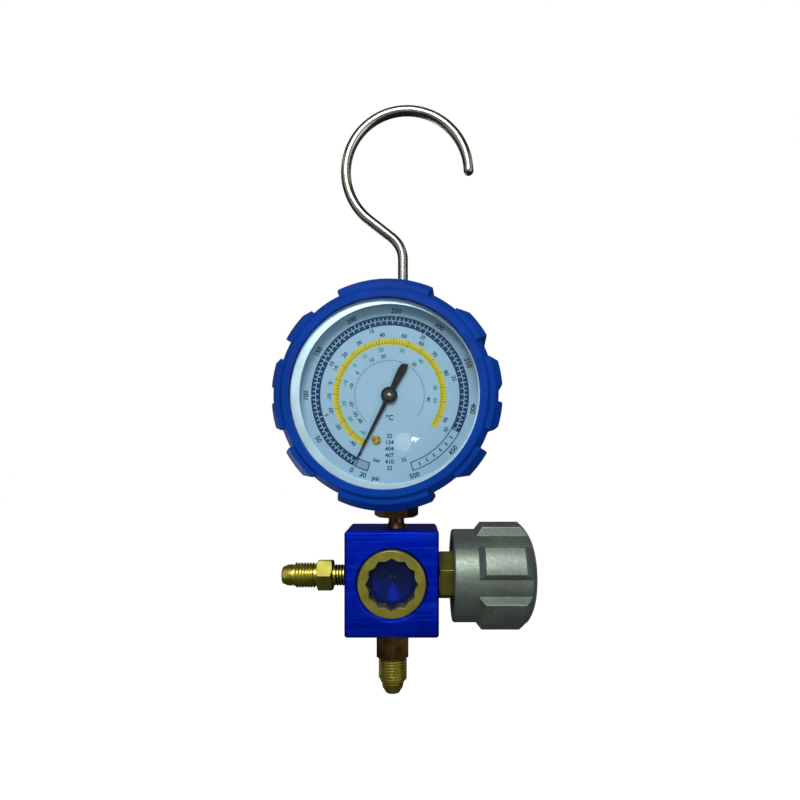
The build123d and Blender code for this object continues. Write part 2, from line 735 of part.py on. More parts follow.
with BuildPart() as knob:
    with BuildSketch(right_plane.offset(lobe_start)) as lobes:
        with PolarLocations(0, knob_lobes, start_angle=first_lobe):
            Polygon(
                (0, knob_lobe_foot / 2 + lobe_flank * knob_radius),
                (knob_lobe_radius + overrun, knob_lobe_crest / 2 - lobe_flank * overrun),
                (knob_lobe_radius + overrun, lobe_flank * overrun - knob_lobe_crest / 2),
                (0, -knob_lobe_foot / 2 - lobe_flank * knob_radius),
                align=None,
            )
        with PolarLocations(0, 1, start_angle=first_lobe + 180 / knob_lobes):
            Circle(knob_lobe_radius, mode=Mode.INTERSECT)
        corners = lobes.vertices().sort_by_distance((0, 0))
        fillet(corners[-2 * knob_lobes :], knob_lobe_crest_fillet)
    extrude(lobes.sketch, amount=knob_end - lobe_start)
    with BuildSketch(knob_side) as lobe_outline:
        knob_envelope((lobe_start, knob_radius), (lobe_full, knob_lobe_radius))
    revolve(lobe_outline.sketch, axis=Axis(valve_centre, right_plane.z_dir), mode=Mode.INTERSECT)
    with BuildSketch(knob_side) as body_outline:
        knob_envelope((valve_start, knob_lobe_radius))
        Polygon(
            (valve_start, 0),
            (valve_start, knob_radius - knob_rim_edge),
            (valve_start + knob_rim_edge, knob_radius),
            (knob_end, knob_radius),
            (knob_end, 0),
            align=None,
            mode=Mode.INTERSECT,
        )
    revolve(body_outline.sketch, axis=Axis(valve_centre, right_plane.z_dir))
    # Moulded hollow with its hub and ribs
    disc(right_plane, cavity_radius, valve_start, hub_start, Mode.SUBTRACT)
    ring(right_plane, knob_hub_radius, cavity_radius, valve_start, cavity_end, Mode.SUBTRACT)
    with BuildSketch(right_plane.offset(rib_start)) as ribs:
        with PolarLocations((knob_hub_radius + cavity_radius) / 2, knob_lobes, start_angle=first_lobe):
            Rectangle(cavity_radius - knob_hub_radius + overrun, knob_rib)
    extrude(ribs.sketch, amount=cavity_end - rib_start + overrun)
    # D bore, screw hole and the recesses in the end
    with BuildSketch(right_plane.offset(hub_start)) as d_bore:
        Circle(spindle_end_radius + running_gap)
        with Locations((0, spindle_flat + running_gap + spindle_end_radius)):
            Rectangle(4 * spindle_end_radius, 2 * spindle_end_radius, mode=Mode.SUBTRACT)
    extrude(d_bore.sketch, amount=spindle_end + running_gap - hub_start, mode=Mode.SUBTRACT)
    disc(right_plane, knob_screw_radius + fit_gap, spindle_end, knob_end, Mode.SUBTRACT)
    disc(right_plane, recess_radius, screw_face, knob_end + overrun, Mode.SUBTRACT)
    disc(right_plane, knob_cap_radius + fit_gap, knob_end - knob_cap_thickness, knob_end + overrun, Mode.SUBTRACT)
knob.part.label = "knob"
export_step(knob.part, "parts/knob.step")

head_start = screw_face + knob_washer_thickness
head_end = head_start + knob_screw_head
cap_start = knob_end - knob_cap_thickness
cap_end = knob_end - knob_cap_set_in

with BuildPart() as knob_washer:
    ring(right_plane, knob_screw_radius + fit_gap, knob_washer_radius, screw_face, head_start)
knob_washer.part.label = "knob_washer"
export_step(knob_washer.part, "parts/knob_washer.step")

with BuildPart() as knob_screw:
    disc(right_plane, knob_screw_radius, spindle_end - knob_screw_grip, head_start)
    disc(right_plane, knob_screw_head_radius, head_start, head_end)
    fillet(knob_screw.edges().filter_by(GeomType.CIRCLE).sort_by(Axis.X)[-1], knob_screw_head_round)
    with BuildSketch(right_plane.offset(head_end)) as cross:
        Rectangle(knob_screw_slot_length, knob_screw_slot)
        Rectangle(knob_screw_slot, knob_screw_slot_length)
    extrude(cross.sketch, amount=-knob_screw_slot_depth, mode=Mode.SUBTRACT)
knob_screw.part.label = "knob_screw"
export_step(knob_screw.part, "parts/knob_screw.step")

with BuildPart() as knob_cap:
    disc(right_plane, knob_cap_radius, cap_start, cap_end)
    ring(
        right_plane, recess_radius - fit_gap - knob_cap_skirt_wall, recess_radius - fit_gap,
        cap_start - knob_cap_skirt, cap_end - knob_cap_set_in,
    )
    fillet(knob_cap.edges().filter_by(GeomType.CIRCLE).sort_by(Axis.X)[-1], knob_cap_round)
knob_cap.part.label = "knob_cap"
export_step(knob_cap.part, "parts/knob_cap.step")

# ---------------------------------------------------------------- gauge stem and socket
hex_bottom = half_height + stem_relief
hex_top = hex_bottom + stem_hex
collar_top = gauge_rise + half_height + socket_bottom
socket_height = socket_top - socket_bottom
tube_half_width = tube_width / 2
tube_half_depth = tube_depth / 2


def tube_section(plane, width, depth):
    """Flattened tube section, long way along the gauge's axis."""
    with BuildSketch(plane) as section:
        with Locations((tube_middle, tube_radius)):
            RectangleRounded(width, depth, depth / 2 - tube_edge_flat)
    return section.sketch


def clock_plane(angle):
    """Plane through the gauge's axis, its Y pointing to a clock angle."""
    across, up = on_clock(angle, 1)
    radial = gauge_right * across + upwards * up
    return Plane(gauge_centre, x_dir=gauge_front, z_dir=gauge_front.cross(radial))


clockwise = Axis(gauge_centre, -gauge_front)

with BuildPart() as gauge_socket:
    hex_bar(neck_plane, stem_across_flats, hex_bottom, hex_top)
    turn_profile(
        neck_plane,
        (half_height - port_bore_depth, 0),
        (half_height - port_bore_depth, stem_thread_radius),
        (half_height, stem_thread_radius),
        (half_height + stem_relief / 2, stem_relief_radius),
        (hex_bottom, stem_relief_radius),
        (hex_bottom, stem_across_flats / 2 - stem_hex_set_in),
        (hex_top, stem_across_flats / 2 - stem_hex_set_in),
        (hex_top, stem_collar_radius),
        (collar_top, stem_collar_radius),
        (collar_top, 0),
    )
    with BuildSketch(dial_plane.offset(case_back + case_wall)) as head:
        with Locations((0, (socket_top + socket_bottom) / 2)):
            Rectangle(socket_width, socket_height)
    extrude(head.sketch, amount=socket_front - case_back - case_wall)
    disc(neck_plane, stem_passage_radius, 0, collar_top + socket_height / 2, Mode.SUBTRACT)
    disc(neck_plane, passage_radius, 0, half_height - port_bore_depth + restrictor_length, Mode.SUBTRACT)
    revolve(
        tube_section(clock_plane(tube_start - overrun), tube_width, tube_depth),
        axis=clockwise, revolution_arc=tube_slot_arc, mode=Mode.SUBTRACT,
    )
    for side in (-1, 1):
        with BuildSketch(dial_plane.offset(case_back + case_wall)) as screw_holes:
            with Locations((side * case_screw_spread / 2, case_screw_height)):
                Circle(case_screw_radius)
        extrude(screw_holes.sketch, amount=case_screw_length + screw_hole_gap, mode=Mode.SUBTRACT)
        with BuildSketch(dial_plane.offset(socket_front)) as foot_holes:
            with Locations((side * case_screw_spread / 2, socket_top - foot_screw_drop)):
                Circle(small_screw_radius)
        extrude(foot_holes.sketch, amount=-small_screw_length - screw_hole_gap, mode=Mode.SUBTRACT)
gauge_socket.part.label = "gauge_socket"
export_step(gauge_socket.part, "parts/gauge_socket.step")

with BuildPart() as flow_restrictor:
    ring(
        neck_plane, restrictor_bore, passage_radius,
        half_height - port_bore_depth, half_height - port_bore_depth + restrictor_length,
    )
flow_restrictor.part.label = "flow_restrictor"
export_step(flow_restrictor.part, "parts/flow_restrictor.step")

# ---------------------------------------------------------------- gauge case and front
spacer_outer = case_inner
spacer_inner = spacer_outer - dial_spacer_wall

with BuildPart() as gauge_case:
    turn_profile(
        dial_plane,
        (case_back, 0),
        (case_back, case_radius),
        (flange_back, case_radius),
        (flange_back, case_flange_radius),
        (case_front, case_flange_radius),
        (case_front, case_inner),
        (dial_back, case_inner),
        (dial_back, case_inner - dial_ledge),
        (dial_back - case_wall, case_inner - dial_ledge),
        (dial_back - case_wall, case_inner),
        (case_back + case_wall, case_inner),
        (case_back + case_wall, 0),
    )
    fillet(gauge_case.edges().filter_by(GeomType.CIRCLE).group_by(Axis(gauge_centre, gauge_front))[0], case_corner)
    disc(stem_plane, stem_collar_radius + running_gap, -case_radius - overrun, socket_bottom, Mode.SUBTRACT)
    disc(hook_plane, hook_thread_radius + fit_gap, case_radius / 2, case_radius + overrun, Mode.SUBTRACT)
    for side in (-1, 1):
        with BuildSketch(dial_plane.offset(case_back)) as screw_holes:
            with Locations((side * case_screw_spread / 2, case_screw_height)):
                Circle(case_screw_radius)
        extrude(screw_holes.sketch, amount=case_wall, mode=Mode.SUBTRACT)
gauge_case.part.label = "gauge_case"
export_step(gauge_case.part, "parts/gauge_case.step")

with BuildPart() as case_screws:
    for side in (-1, 1):
        screw_plane = Plane(
            dial_plane.from_local_coords((side * case_screw_spread / 2, case_screw_height, case_back)),
            x_dir=gauge_right, z_dir=gauge_front,
        )
        turn_profile(
            screw_plane,
            (-case_screw_head, 0),
            (-case_screw_head, case_screw_head_radius - case_screw_head_round),
            (-case_screw_head + case_screw_head_round, case_screw_head_radius),
            (0, case_screw_head_radius),
            (0, case_screw_radius),
            (case_wall + case_screw_length, case_screw_radius),
            (case_wall + case_screw_length, 0),
        )
        with BuildSketch(screw_plane.offset(-case_screw_head)) as slot:
            Rectangle(2 * case_screw_head_radius, case_screw_slot)
        extrude(slot.sketch, amount=case_screw_slot, mode=Mode.SUBTRACT)
case_screws.part.label = "case_screws"
export_step(case_screws.part, "parts/case_screws.step")

with BuildPart() as lens_gasket:
    ring(dial_plane, case_inner, case_flange_radius, case_front, lens_rear)
lens_gasket.part.label = "lens_gasket"
export_step(lens_gasket.part, "parts/lens_gasket.step")

with BuildPart() as gauge_lens:
    disc(dial_plane, case_flange_radius, lens_rear, lens_front)
gauge_lens.part.label = "gauge_lens"
export_step(gauge_lens.part, "parts/gauge_lens.step")

with BuildPart() as bezel_ring:
    turn_profile(
        dial_plane,
        (bezel_front, bezel_window_radius),
        (bezel_front, bezel_radius - bezel_edge),
        (bezel_front - bezel_edge, bezel_radius),
        (flange_back - bezel_wall, bezel_radius),
        (flange_back - bezel_wall, case_radius + fit_gap),
        (flange_back, case_radius + fit_gap),
        (flange_back, bezel_inner),
        (lens_front, bezel_inner),
        (lens_front, bezel_window_radius),
    )
bezel_ring.part.label = "bezel_ring"
export_step(bezel_ring.part, "parts/bezel_ring.step")

with BuildPart() as dial_plate:
    disc(dial_plane, case_inner - fit_gap, dial_back, dial_face)
    disc(dial_plane, dial_hole, dial_back, dial_face, Mode.SUBTRACT)
    zero_screw_plane = Plane(
        dial_plane.from_local_coords((zero_screw_right, zero_screw_up, 0)),
        x_dir=gauge_right, z_dir=gauge_front,
    )
    disc(zero_screw_plane, zero_screw_shank + running_gap, dial_back, dial_face, Mode.SUBTRACT)
dial_plate.part.label = "dial_plate"
export_step(dial_plate.part, "parts/dial_plate.step")

with BuildPart() as dial_spacer:
    ring(dial_plane, spacer_inner, spacer_outer, dial_face, lens_rear)
dial_spacer.part.label = "dial_spacer"
export_step(dial_spacer.part, "parts/dial_spacer.step")

zero_screw_front = dial_face + zero_screw_head
rivet_front = dial_back - zero_screw_gap
with BuildPart() as zero_adjust_screw:
    turn_profile(
        zero_screw_plane,
        (dial_face + zero_screw_gap, 0),
        (dial_face + zero_screw_gap, zero_screw_radius),
        (zero_screw_front - zero_screw_edge, zero_screw_radius),
        (zero_screw_front, zero_screw_radius - zero_screw_edge),
        (zero_screw_front, 0),
    )
    disc(zero_screw_plane, zero_screw_shank, rivet_front, dial_face + zero_screw_head / 2)
    disc(zero_screw_plane, zero_screw_rivet, rivet_front - zero_screw_rivet_length, rivet_front)
    with BuildSketch(zero_screw_plane.offset(zero_screw_front)) as slot:
        Rectangle(3 * zero_screw_radius, zero_screw_slot, rotation=zero_screw_slot_turn)
    extrude(slot.sketch, amount=-zero_screw_slot_depth, mode=Mode.SUBTRACT)
zero_adjust_screw.part.label = "zero_adjust_screw"
export_step(zero_adjust_screw.part, "parts/zero_adjust_screw.step")

# ---------------------------------------------------------------- Bourdon tube and its tip
with BuildPart() as bourdon_tube:
    revolve(
        tube_section(clock_plane(tube_start), tube_width, tube_depth),
        axis=clockwise, revolution_arc=tube_sweep,
    )
    revolve(
        tube_section(clock_plane(tube_start), tube_width - 2 * tube_wall, tube_depth - 2 * tube_wall),
        axis=clockwise, revolution_arc=tube_sweep, mode=Mode.SUBTRACT,
    )
bourdon_tube.part.label = "bourdon_tube"
export_step(bourdon_tube.part, "parts/bourdon_tube.step")

tube_end = tube_start + tube_sweep - 360  # a whole turn back
tip_start = tube_end - tube_tip_overlap
tip_pin_clock = tube_end + (tube_tip_sweep - tube_tip_overlap) * tip_pin_share
tip_pin_at = on_clock(tip_pin_clock, tip_pin_radial)
sector_front = sector_back + sector_thickness
link_back = sector_front + link_side_gap
link_front = link_back + link_thickness

with BuildPart() as tube_tip:
    revolve(
        tube_section(clock_plane(tip_start), tube_width + 2 * tube_tip_wall, tube_depth + 2 * tube_tip_wall),
        axis=clockwise, revolution_arc=tube_tip_sweep,
    )
    revolve(
        tube_section(clock_plane(tip_start - overrun), tube_width, tube_depth),
        axis=clockwise, revolution_arc=tube_tip_overlap + overrun, mode=Mode.SUBTRACT,
    )
    with BuildSketch(dial_plane.offset(tube_middle + tube_half_width)) as lug:
        with Locations(tip_pin_at):
            Circle(link_width / 2)
    extrude(lug.sketch, amount=link_back - link_side_gap - tube_middle - tube_half_width)
    with BuildSketch(dial_plane.offset(tube_middle)) as tip_pin:
        with Locations(tip_pin_at):
            Circle(link_pin_radius)
    extrude(tip_pin.sketch, amount=link_front + link_pin_end - tube_middle)
tube_tip.part.label = "tube_tip"
export_step(tube_tip.part, "parts/tube_tip.step")

# ---------------------------------------------------------------- movement
gear_ratio = sector_full_teeth / pinion_teeth
pinion_pitch_radius = gear_module * pinion_teeth / 2
sector_pitch_radius = gear_module * sector_full_teeth / 2
centre_distance = pinion_pitch_radius + sector_pitch_radius
sector_at = (0, -centre_distance)
sector_swing = (pointer_low + pointer_high) / gear_ratio
swing_above = pointer_high / gear_ratio
sector_pitch = 360 / sector_full_teeth
teeth_after = 2  # teeth past the mesh on the side that comes in below zero
link_heading = degrees(atan2(tip_pin_at[1] - sector_at[1] + sector_tail, tip_pin_at[0]))
tail_middle = link_heading - 90
tail_rest = tail_middle - (swing_above - pointer_low / gear_ratio) / 2
tail_at = polar(tail_rest, sector_tail, sector_at)
tail_half_way = polar(tail_middle, sector_tail, sector_at)
heading_rest = degrees(atan2(tip_pin_at[1] - tail_at[1], tip_pin_at[0] - tail_at[0]))
heading_middle = degrees(atan2(tip_pin_at[1] - tail_half_way[1], tip_pin_at[0] - tail_half_way[0]))
link_angle = (heading_rest + heading_middle) / 2
link_length = hypot(tip_pin_at[0] - tail_at[0], tip_pin_at[1] - tail_at[1])
tail_travel = 2 * sector_tail * sin(radians(sector_swing / 2))

pillar_places = ((-11.0, -18.5), (12.0, -9.5), (-4.0, 8.5))
foot_places = tuple((side * case_screw_spread / 2, socket_top - foot_screw_drop) for side in (-1, 1))


def movement_plate(start, foot):
    """Plate hulled round its pivots and pillars, with an optional foot on the socket."""
    with BuildSketch(dial_plane.offset(start)) as outline:
        with Locations(*pillar_places):
            Circle(plate_boss)
        with Locations((0, 0), sector_at):
            Circle(plate_boss)
        make_hull()
        if foot:
            with Locations((0, socket_top + plate_foot_rise - plate_foot / 2)):
                Rectangle(socket_width, plate_foot)
            with Locations((0, socket_top - plate_foot_rise + plate_web / 2)):
                Rectangle(plate_web_width, plate_web)
    extrude(outline.sketch, amount=plate_thickness)


def plate_holes(start, places, radius):
    """Round holes through a movement plate."""
    with BuildSketch(dial_plane.offset(start)) as holes:
        with Locations(*places):
            Circle(radius)
    extrude(holes.sketch, amount=plate_thickness, mode=Mode.SUBTRACT)


with BuildPart() as movement_rear_plate:
    movement_plate(plate_back, True)
    plate_holes(plate_back, foot_places, small_screw_radius)
    plate_holes(plate_back, ((0, 0), sector_at), pivot_radius + running_gap)
movement_rear_plate.part.label = "movement_rear_plate"
export_step(movement_rear_plate.part, "parts/movement_rear_plate.step")

with BuildPart() as movement_front_plate:
    movement_plate(front_plate_back, False)
    plate_holes(front_plate_back, pillar_places, small_screw_radius)
    plate_holes(front_plate_back, ((0, 0),), arbor_radius + running_gap)
    plate_holes(front_plate_back, (sector_at,), pivot_radius + running_gap)
movement_front_plate.part.label = "movement_front_plate"
export_step(movement_front_plate.part, "parts/movement_front_plate.step")

with BuildPart() as movement_pillars:
    with BuildSketch(dial_plane.offset(gear_side)) as pillars:
        with Locations(*pillar_places):
            Circle(pillar_radius)
    extrude(pillars.sketch, amount=pillar_length)
    with BuildSketch(dial_plane.offset(front_plate_back)) as pillar_holes:
        with Locations(*pillar_places):
            Circle(small_screw_radius)
    extrude(pillar_holes.sketch, amount=-small_screw_length - screw_hole_gap, mode=Mode.SUBTRACT)
movement_pillars.part.label = "movement_pillars"
export_step(movement_pillars.part, "parts/movement_pillars.step")


def small_screws(start, places, length):
    """Cheese-head screws standing on a plane, their shanks going back."""
    with BuildSketch(dial_plane.offset(start - length)) as shanks:
        with Locations(*places):
            Circle(small_screw_radius)
    extrude(shanks.sketch, amount=length + small_screw_head / 2)
    with BuildSketch(dial_plane.offset(start)) as heads:
        with Locations(*places):
            Circle(2 * small_screw_radius)
    extrude(heads.sketch, amount=small_screw_head)


with BuildPart() as movement_screws:
    small_screws(gear_side, foot_places, plate_thickness + small_screw_length)
movement_screws.part.label = "movement_screws"
export_step(movement_screws.part, "parts/movement_screws.step")

with BuildPart() as pillar_screws:
    small_screws(front_plate_back + plate_thickness, pillar_places, plate_thickness + small_screw_length)
pillar_screws.part.label = "pillar_screws"
export_step(pillar_screws.part, "parts/pillar_screws.step")

rim_inner = sector_pitch_radius - tooth_dedendum * gear_module - sector_rim
last_tooth = 90 + teeth_after * sector_pitch
first_tooth = last_tooth - (sector_teeth - 1) * sector_pitch
middle_tooth = (first_tooth + last_tooth) / 2
rim_start = first_tooth - sector_setting * sector_pitch
rim_stop = last_tooth + sector_setting * sector_pitch

with BuildPart() as sector_gear:
    with BuildSketch(dial_plane.offset(sector_back)) as sector:
        with BuildLine():
            rim = [polar(rim_start, rim_inner, sector_at)]
            rim.append(polar(rim_start, rim_inner + sector_rim, sector_at))
            for tooth in range(sector_teeth):
                rim += tooth_points(sector_full_teeth, first_tooth + tooth * sector_pitch, sector_at)
            rim.append(polar(rim_stop, rim_inner + sector_rim, sector_at))
            rim.append(polar(rim_stop, rim_inner, sector_at))
            Polyline(*rim, close=True)
        make_face()
        with BuildLine():
            Polyline(
                polar(first_tooth + sector_pitch, rim_inner + sector_arm_set_in, sector_at),
                polar(middle_tooth, rim_inner + sector_arm_set_in, sector_at),
                polar(last_tooth - sector_pitch, rim_inner + sector_arm_set_in, sector_at),
                polar(last_tooth + sector_arm_angle, sector_arm_root, sector_at),
                polar(first_tooth - sector_arm_angle, sector_arm_root, sector_at),
                close=True,
            )
        make_face()
        with Locations(sector_at):
            Circle(sector_boss)
        with BuildLine():
            across = polar(tail_rest + 90, sector_tail_half)
            Polyline(
                (sector_at[0] + across[0], sector_at[1] + across[1]),
                (tail_at[0] + across[0], tail_at[1] + across[1]),
                (tail_at[0] - across[0], tail_at[1] - across[1]),
                (sector_at[0] - across[0], sector_at[1] - across[1]),
                close=True,
            )
        make_face()
        with Locations(tail_at):
            Circle(sector_tail_half)
        # Lightening window and the arbor's hole
        with BuildLine():
            Polyline(
                polar(first_tooth + sector_window_angle, rim_inner - sector_window_set_in, sector_at),
                polar(middle_tooth, rim_inner - sector_window_set_in, sector_at),
                polar(last_tooth - sector_window_angle, rim_inner - sector_window_set_in, sector_at),
                polar(middle_tooth, sector_window_root, sector_at),
                close=True,
            )
        make_face(mode=Mode.SUBTRACT)
        with Locations(sector_at):
            Circle(arbor_radius, mode=Mode.SUBTRACT)
    extrude(sector.sketch, amount=sector_thickness)
    with BuildSketch(dial_plane.offset(sector_back)) as tail_pin:
        with Locations(tail_at):
            Circle(link_pin_radius)
    extrude(tail_pin.sketch, amount=link_front + link_pin_end - sector_back)
sector_gear.part.label = "sector_gear"
export_step(sector_gear.part, "parts/sector_gear.step")

sector_axis_plane = Plane(
    dial_plane.from_local_coords((sector_at[0], sector_at[1], 0)), x_dir=gauge_right, z_dir=gauge_front
)
with BuildPart() as sector_arbor:
    turn_profile(
        sector_axis_plane,
        (plate_back, 0),
        (plate_back, pivot_radius),
        (gear_side + running_gap, pivot_radius),
        (gear_side + running_gap, arbor_radius),
        (front_plate_back - running_gap, arbor_radius),
        (front_plate_back - running_gap, pivot_radius),
        (front_plate_back + plate_thickness, pivot_radius),
        (front_plate_back + plate_thickness, 0),
    )
sector_arbor.part.label = "sector_arbor"
export_step(sector_arbor.part, "parts/sector_arbor.step")

with BuildPart() as pinion_spindle:
    with BuildSketch(dial_plane.offset(pinion_back)) as pinion:
        with BuildLine():
            wheel = []
            for tooth in range(pinion_teeth):
                wheel += tooth_points(pinion_teeth, -90 + (tooth + 0.5) * 360 / pinion_teeth)
            Polyline(*wheel, close=True)
        make_face()
    extrude(pinion.sketch, amount=pinion_thickness)
    turn_profile(
        dial_plane,
        (plate_back, 0),
        (plate_back, pivot_radius),
        (gear_side + running_gap, pivot_radius),
        (gear_side + running_gap, arbor_radius),
        (hub_front, arbor_radius),
        (hub_front + arbor_edge, arbor_radius / 2),
        (hub_front + arbor_edge, 0),
    )
pinion_spindle.part.label = "pinion_spindle"
export_step(pinion_spindle.part, "parts/pinion_spindle.step")

spring_back = pinion_back + pinion_thickness + spring_gap
with BuildPart() as hairspring:
    with BuildSketch(dial_plane.offset(spring_back)) as spiral:
        steps = int(spring_turns * spring_points)
        inner_edge, outer_edge = [], []
        for step in range(steps + 1):
            share = step / steps
            radius = spring_inner + (spring_outer - spring_inner) * share
            angle = 360 * spring_turns * share
            inner_edge.append(polar(angle, radius))
            outer_edge.append(polar(angle, radius + spring_thickness))
        with BuildLine():
            Spline(*inner_edge)
            Spline(*outer_edge)
            Line(inner_edge[0], outer_edge[0])
            Line(inner_edge[-1], outer_edge[-1])
        make_face()
    extrude(spiral.sketch, amount=spring_height)
hairspring.part.label = "hairspring"
export_step(hairspring.part, "parts/hairspring.step")

slot_far = link_length + link_slot_spare
slot_near = link_length - tail_travel - link_slot_spare
slot_half = link_pin_radius + link_slot_gap
with BuildPart() as movement_link:
    link_plane = Plane(
        dial_plane.from_local_coords((tail_at[0], tail_at[1], link_back)),
        x_dir=gauge_right * cos(radians(link_angle)) + upwards * sin(radians(link_angle)),
        z_dir=gauge_front,
    )
    with BuildSketch(link_plane) as bar:
        with Locations((link_length / 2, 0)):
            Rectangle(link_length, link_bar)
        Circle(link_eye_radius)
        with Locations(((slot_far + slot_near) / 2, 0)):
            SlotCenterToCenter(slot_far - slot_near, link_slot_width)
            SlotCenterToCenter(slot_far - slot_near, 2 * slot_half, mode=Mode.SUBTRACT)
        Circle(link_pin_radius + running_gap, mode=Mode.SUBTRACT)
    extrude(bar.sketch, amount=link_thickness)
movement_link.part.label = "movement_link"
export_step(movement_link.part, "parts/movement_link.step")

# ---------------------------------------------------------------- pointer
needle = radians(90 - zero_clock)
needle_dir = gauge_right * cos(needle) + upwards * sin(needle)
pointer_plane = Plane(
    dial_plane.from_local_coords((0, 0, pointer_back)), x_dir=needle_dir, z_dir=gauge_front
)
with BuildPart() as pointer:
    with BuildSketch(pointer_plane) as blade:
        with BuildLine():
            Polyline(
                (0, needle_root), (pointer_reach, needle_tip), (pointer_reach, -needle_tip),
                (0, -needle_root), close=True,
            )
        make_face()
        with BuildLine():
            Polyline(
                (0, tail_root), (-tail_neck_at, tail_head), (-tail_barb_at, tail_head),
                (-pointer_tail, tail_end_half), (-tail_notch_at, -tail_end_half),
                (-tail_neck_at, -tail_head), (0, -tail_root), close=True,
            )
        make_face()
        Circle(pointer_disc_radius)
        Circle(arbor_radius, mode=Mode.SUBTRACT)
    extrude(blade.sketch, amount=pointer_thickness)
pointer.part.label = "pointer"
export_step(pointer.part, "parts/pointer.step")

with BuildPart() as pointer_hub:
    hub_back = pointer_back + pointer_thickness
    turn_profile(
        dial_plane,
        (hub_back, arbor_radius),
        (hub_back, pointer_hub_radius),
        (hub_front - pointer_hub_edge, pointer_hub_radius),
        (hub_front, pointer_hub_radius - pointer_hub_edge),
        (hub_front, arbor_radius),
    )
pointer_hub.part.label = "pointer_hub"
export_step(pointer_hub.part, "parts/pointer_hub.step")

# ---------------------------------------------------------------- rubber boot
lobe_back = boot_back + boot_lobe_back
lobe_front = boot_front - boot_lobe_end
lobe_base = boot_radius - boot_shoulder
lobe_excess = 1 + overrun / boot_lobe_height  # the trimming cones run past the lobes


def boot_lobe(foot, top, end, side, half, height=boot_lobe_height):
    """A lobe's outline between clock angles, steep at its end, mirrored by side and half."""
    corners = []
    for angle, radius in (
        (foot, lobe_base),
        (foot, boot_radius),
        (top, boot_radius + height),
        ((top + end) / 2, boot_radius + height),
        (end, boot_radius + height),
        (end, lobe_base),
    ):
        across, up = on_clock(angle, radius)
        corners.append((side * across, half * up))
    with BuildLine() as edge:
        Polyline(corners[4], corners[5], corners[0], corners[1], corners[2])
        ThreePointArc(corners[2], corners[3], corners[4])
    make_face(edge.edges())


with BuildPart() as gauge_boot:
    with BuildSketch(boot_plane.offset(lobe_back)) as lobes:
        for side in (1, -1):
            boot_lobe(-boot_wide_lobe, -boot_wide_lobe, boot_wide_lobe, 1, side)
            for foot, top, end in boot_small_lobes:
                boot_lobe(foot, top, end, side, 1)
                boot_lobe(foot, top, end, side, -1)
        for side in (1, -1):
            low, high = 90 - boot_side_angle, 90 + boot_side_angle
            boot_lobe(low, low, high, side, 1, boot_side_fill)
        corners = lobes.vertices().sort_by_distance((0, 0))
        fillet(corners[-4 * (1 + 2 * len(boot_small_lobes)) :], boot_lobe_round)
    extrude(lobes.sketch, amount=lobe_front - lobe_back)
    turn_profile(
        boot_plane,
        (lobe_back, 0),
        (lobe_back, boot_radius),
        (lobe_back + boot_lobe_slope * lobe_excess, boot_lobe_radius + overrun),
        (lobe_front - boot_lobe_taper * lobe_excess, boot_lobe_radius + overrun),
        (lobe_front, boot_radius),
        (lobe_front, 0),
        mode=Mode.INTERSECT,
    )
    turn_profile(
        boot_plane,
        (boot_back, 0),
        (boot_back, boot_radius - boot_back_edge),
        (boot_back + boot_back_edge, boot_radius),
        (boot_front - boot_shoulder, boot_radius),
        (boot_front - boot_front_edge, boot_ring_radius),
        (boot_front, boot_ring_radius - boot_front_edge),
        (boot_front, 0),
    )
    # Space for the case and its bezel, the window and the open back
    turn_profile(
        dial_plane,
        (case_back, 0),
        (case_back, case_radius),
        (flange_back - bezel_wall, case_radius),
        (flange_back - bezel_wall, bezel_radius),
        (bezel_front, bezel_radius),
        (bezel_front, 0),
        mode=Mode.SUBTRACT,
    )
    disc(boot_plane, boot_window_radius, 0, boot_front + overrun, Mode.SUBTRACT)
    disc(boot_plane, boot_back_opening, boot_back - overrun, 0, Mode.SUBTRACT)
    # Holes for the stem and the hook
    stem_hole = stem_across_flats / sqrt(3) + boot_hole_gap
    disc(stem_plane, stem_hole, -boot_lobe_radius - overrun, 0, Mode.SUBTRACT)
    disc(hook_plane, hook_wire / 2 + boot_hole_gap, 0, boot_lobe_radius + overrun, Mode.SUBTRACT)
gauge_boot.part.label = "gauge_boot"
export_step(gauge_boot.part, "parts/gauge_boot.step")

# ---------------------------------------------------------------- hook
hook_shoulder = sqrt(case_radius**2 - (hook_stem_side - hook_wire / 2) ** 2)  # above the dial centre
hook_washer_radius = hook_thread_radius + hook_washer_rim
washer_top = sqrt(case_inner**2 - (hook_stem_side + hook_washer_radius) ** 2)
washer_bottom = washer_top - hook_washer_thickness
nut_bottom = washer_bottom - hook_nut_thickness

with BuildPart() as hanging_hook:
    with BuildLine(loop_plane) as hook_path:
        tip = polar(-hook_tip_drop, hook_loop_radius, (0, loop_z))
        tip_heading = polar(90 - hook_tip_drop, 1)
        loop = JernArc(tip, tip_heading, hook_loop_radius, hook_wrap)
        dive = hook_wrap - hook_tip_drop - 180 - 90  # heading of the straight, below level
        bend_shift = hook_bend_radius * (1 - sin(radians(-dive)))
        straight = (hook_stem.X - bend_shift - (loop @ 1).X) / cos(radians(dive))
        shank = Line(loop @ 1, loop @ 1 + (loop % 1) * straight)
        bend = JernArc(shank @ 1, shank % 1, hook_bend_radius, -(90 + dive))
        Line(bend @ 1, (hook_stem.X, gauge_z + hook_shoulder))
    with BuildSketch(Plane(hook_path.line @ 0, z_dir=hook_path.line % 0)) as wire:
        Circle(hook_wire / 2)
    sweep(wire.sketch, path=hook_path.line)
    fillet(hanging_hook.edges().filter_by(GeomType.CIRCLE).sort_by(Axis.X)[-1], hook_wire / 2 - hook_tip_flat)
    disc(hook_plane, hook_thread_radius, nut_bottom - hook_thread_lead, hook_shoulder + overrun)
hanging_hook.part.label = "hanging_hook"
export_step(hanging_hook.part, "parts/hanging_hook.step")

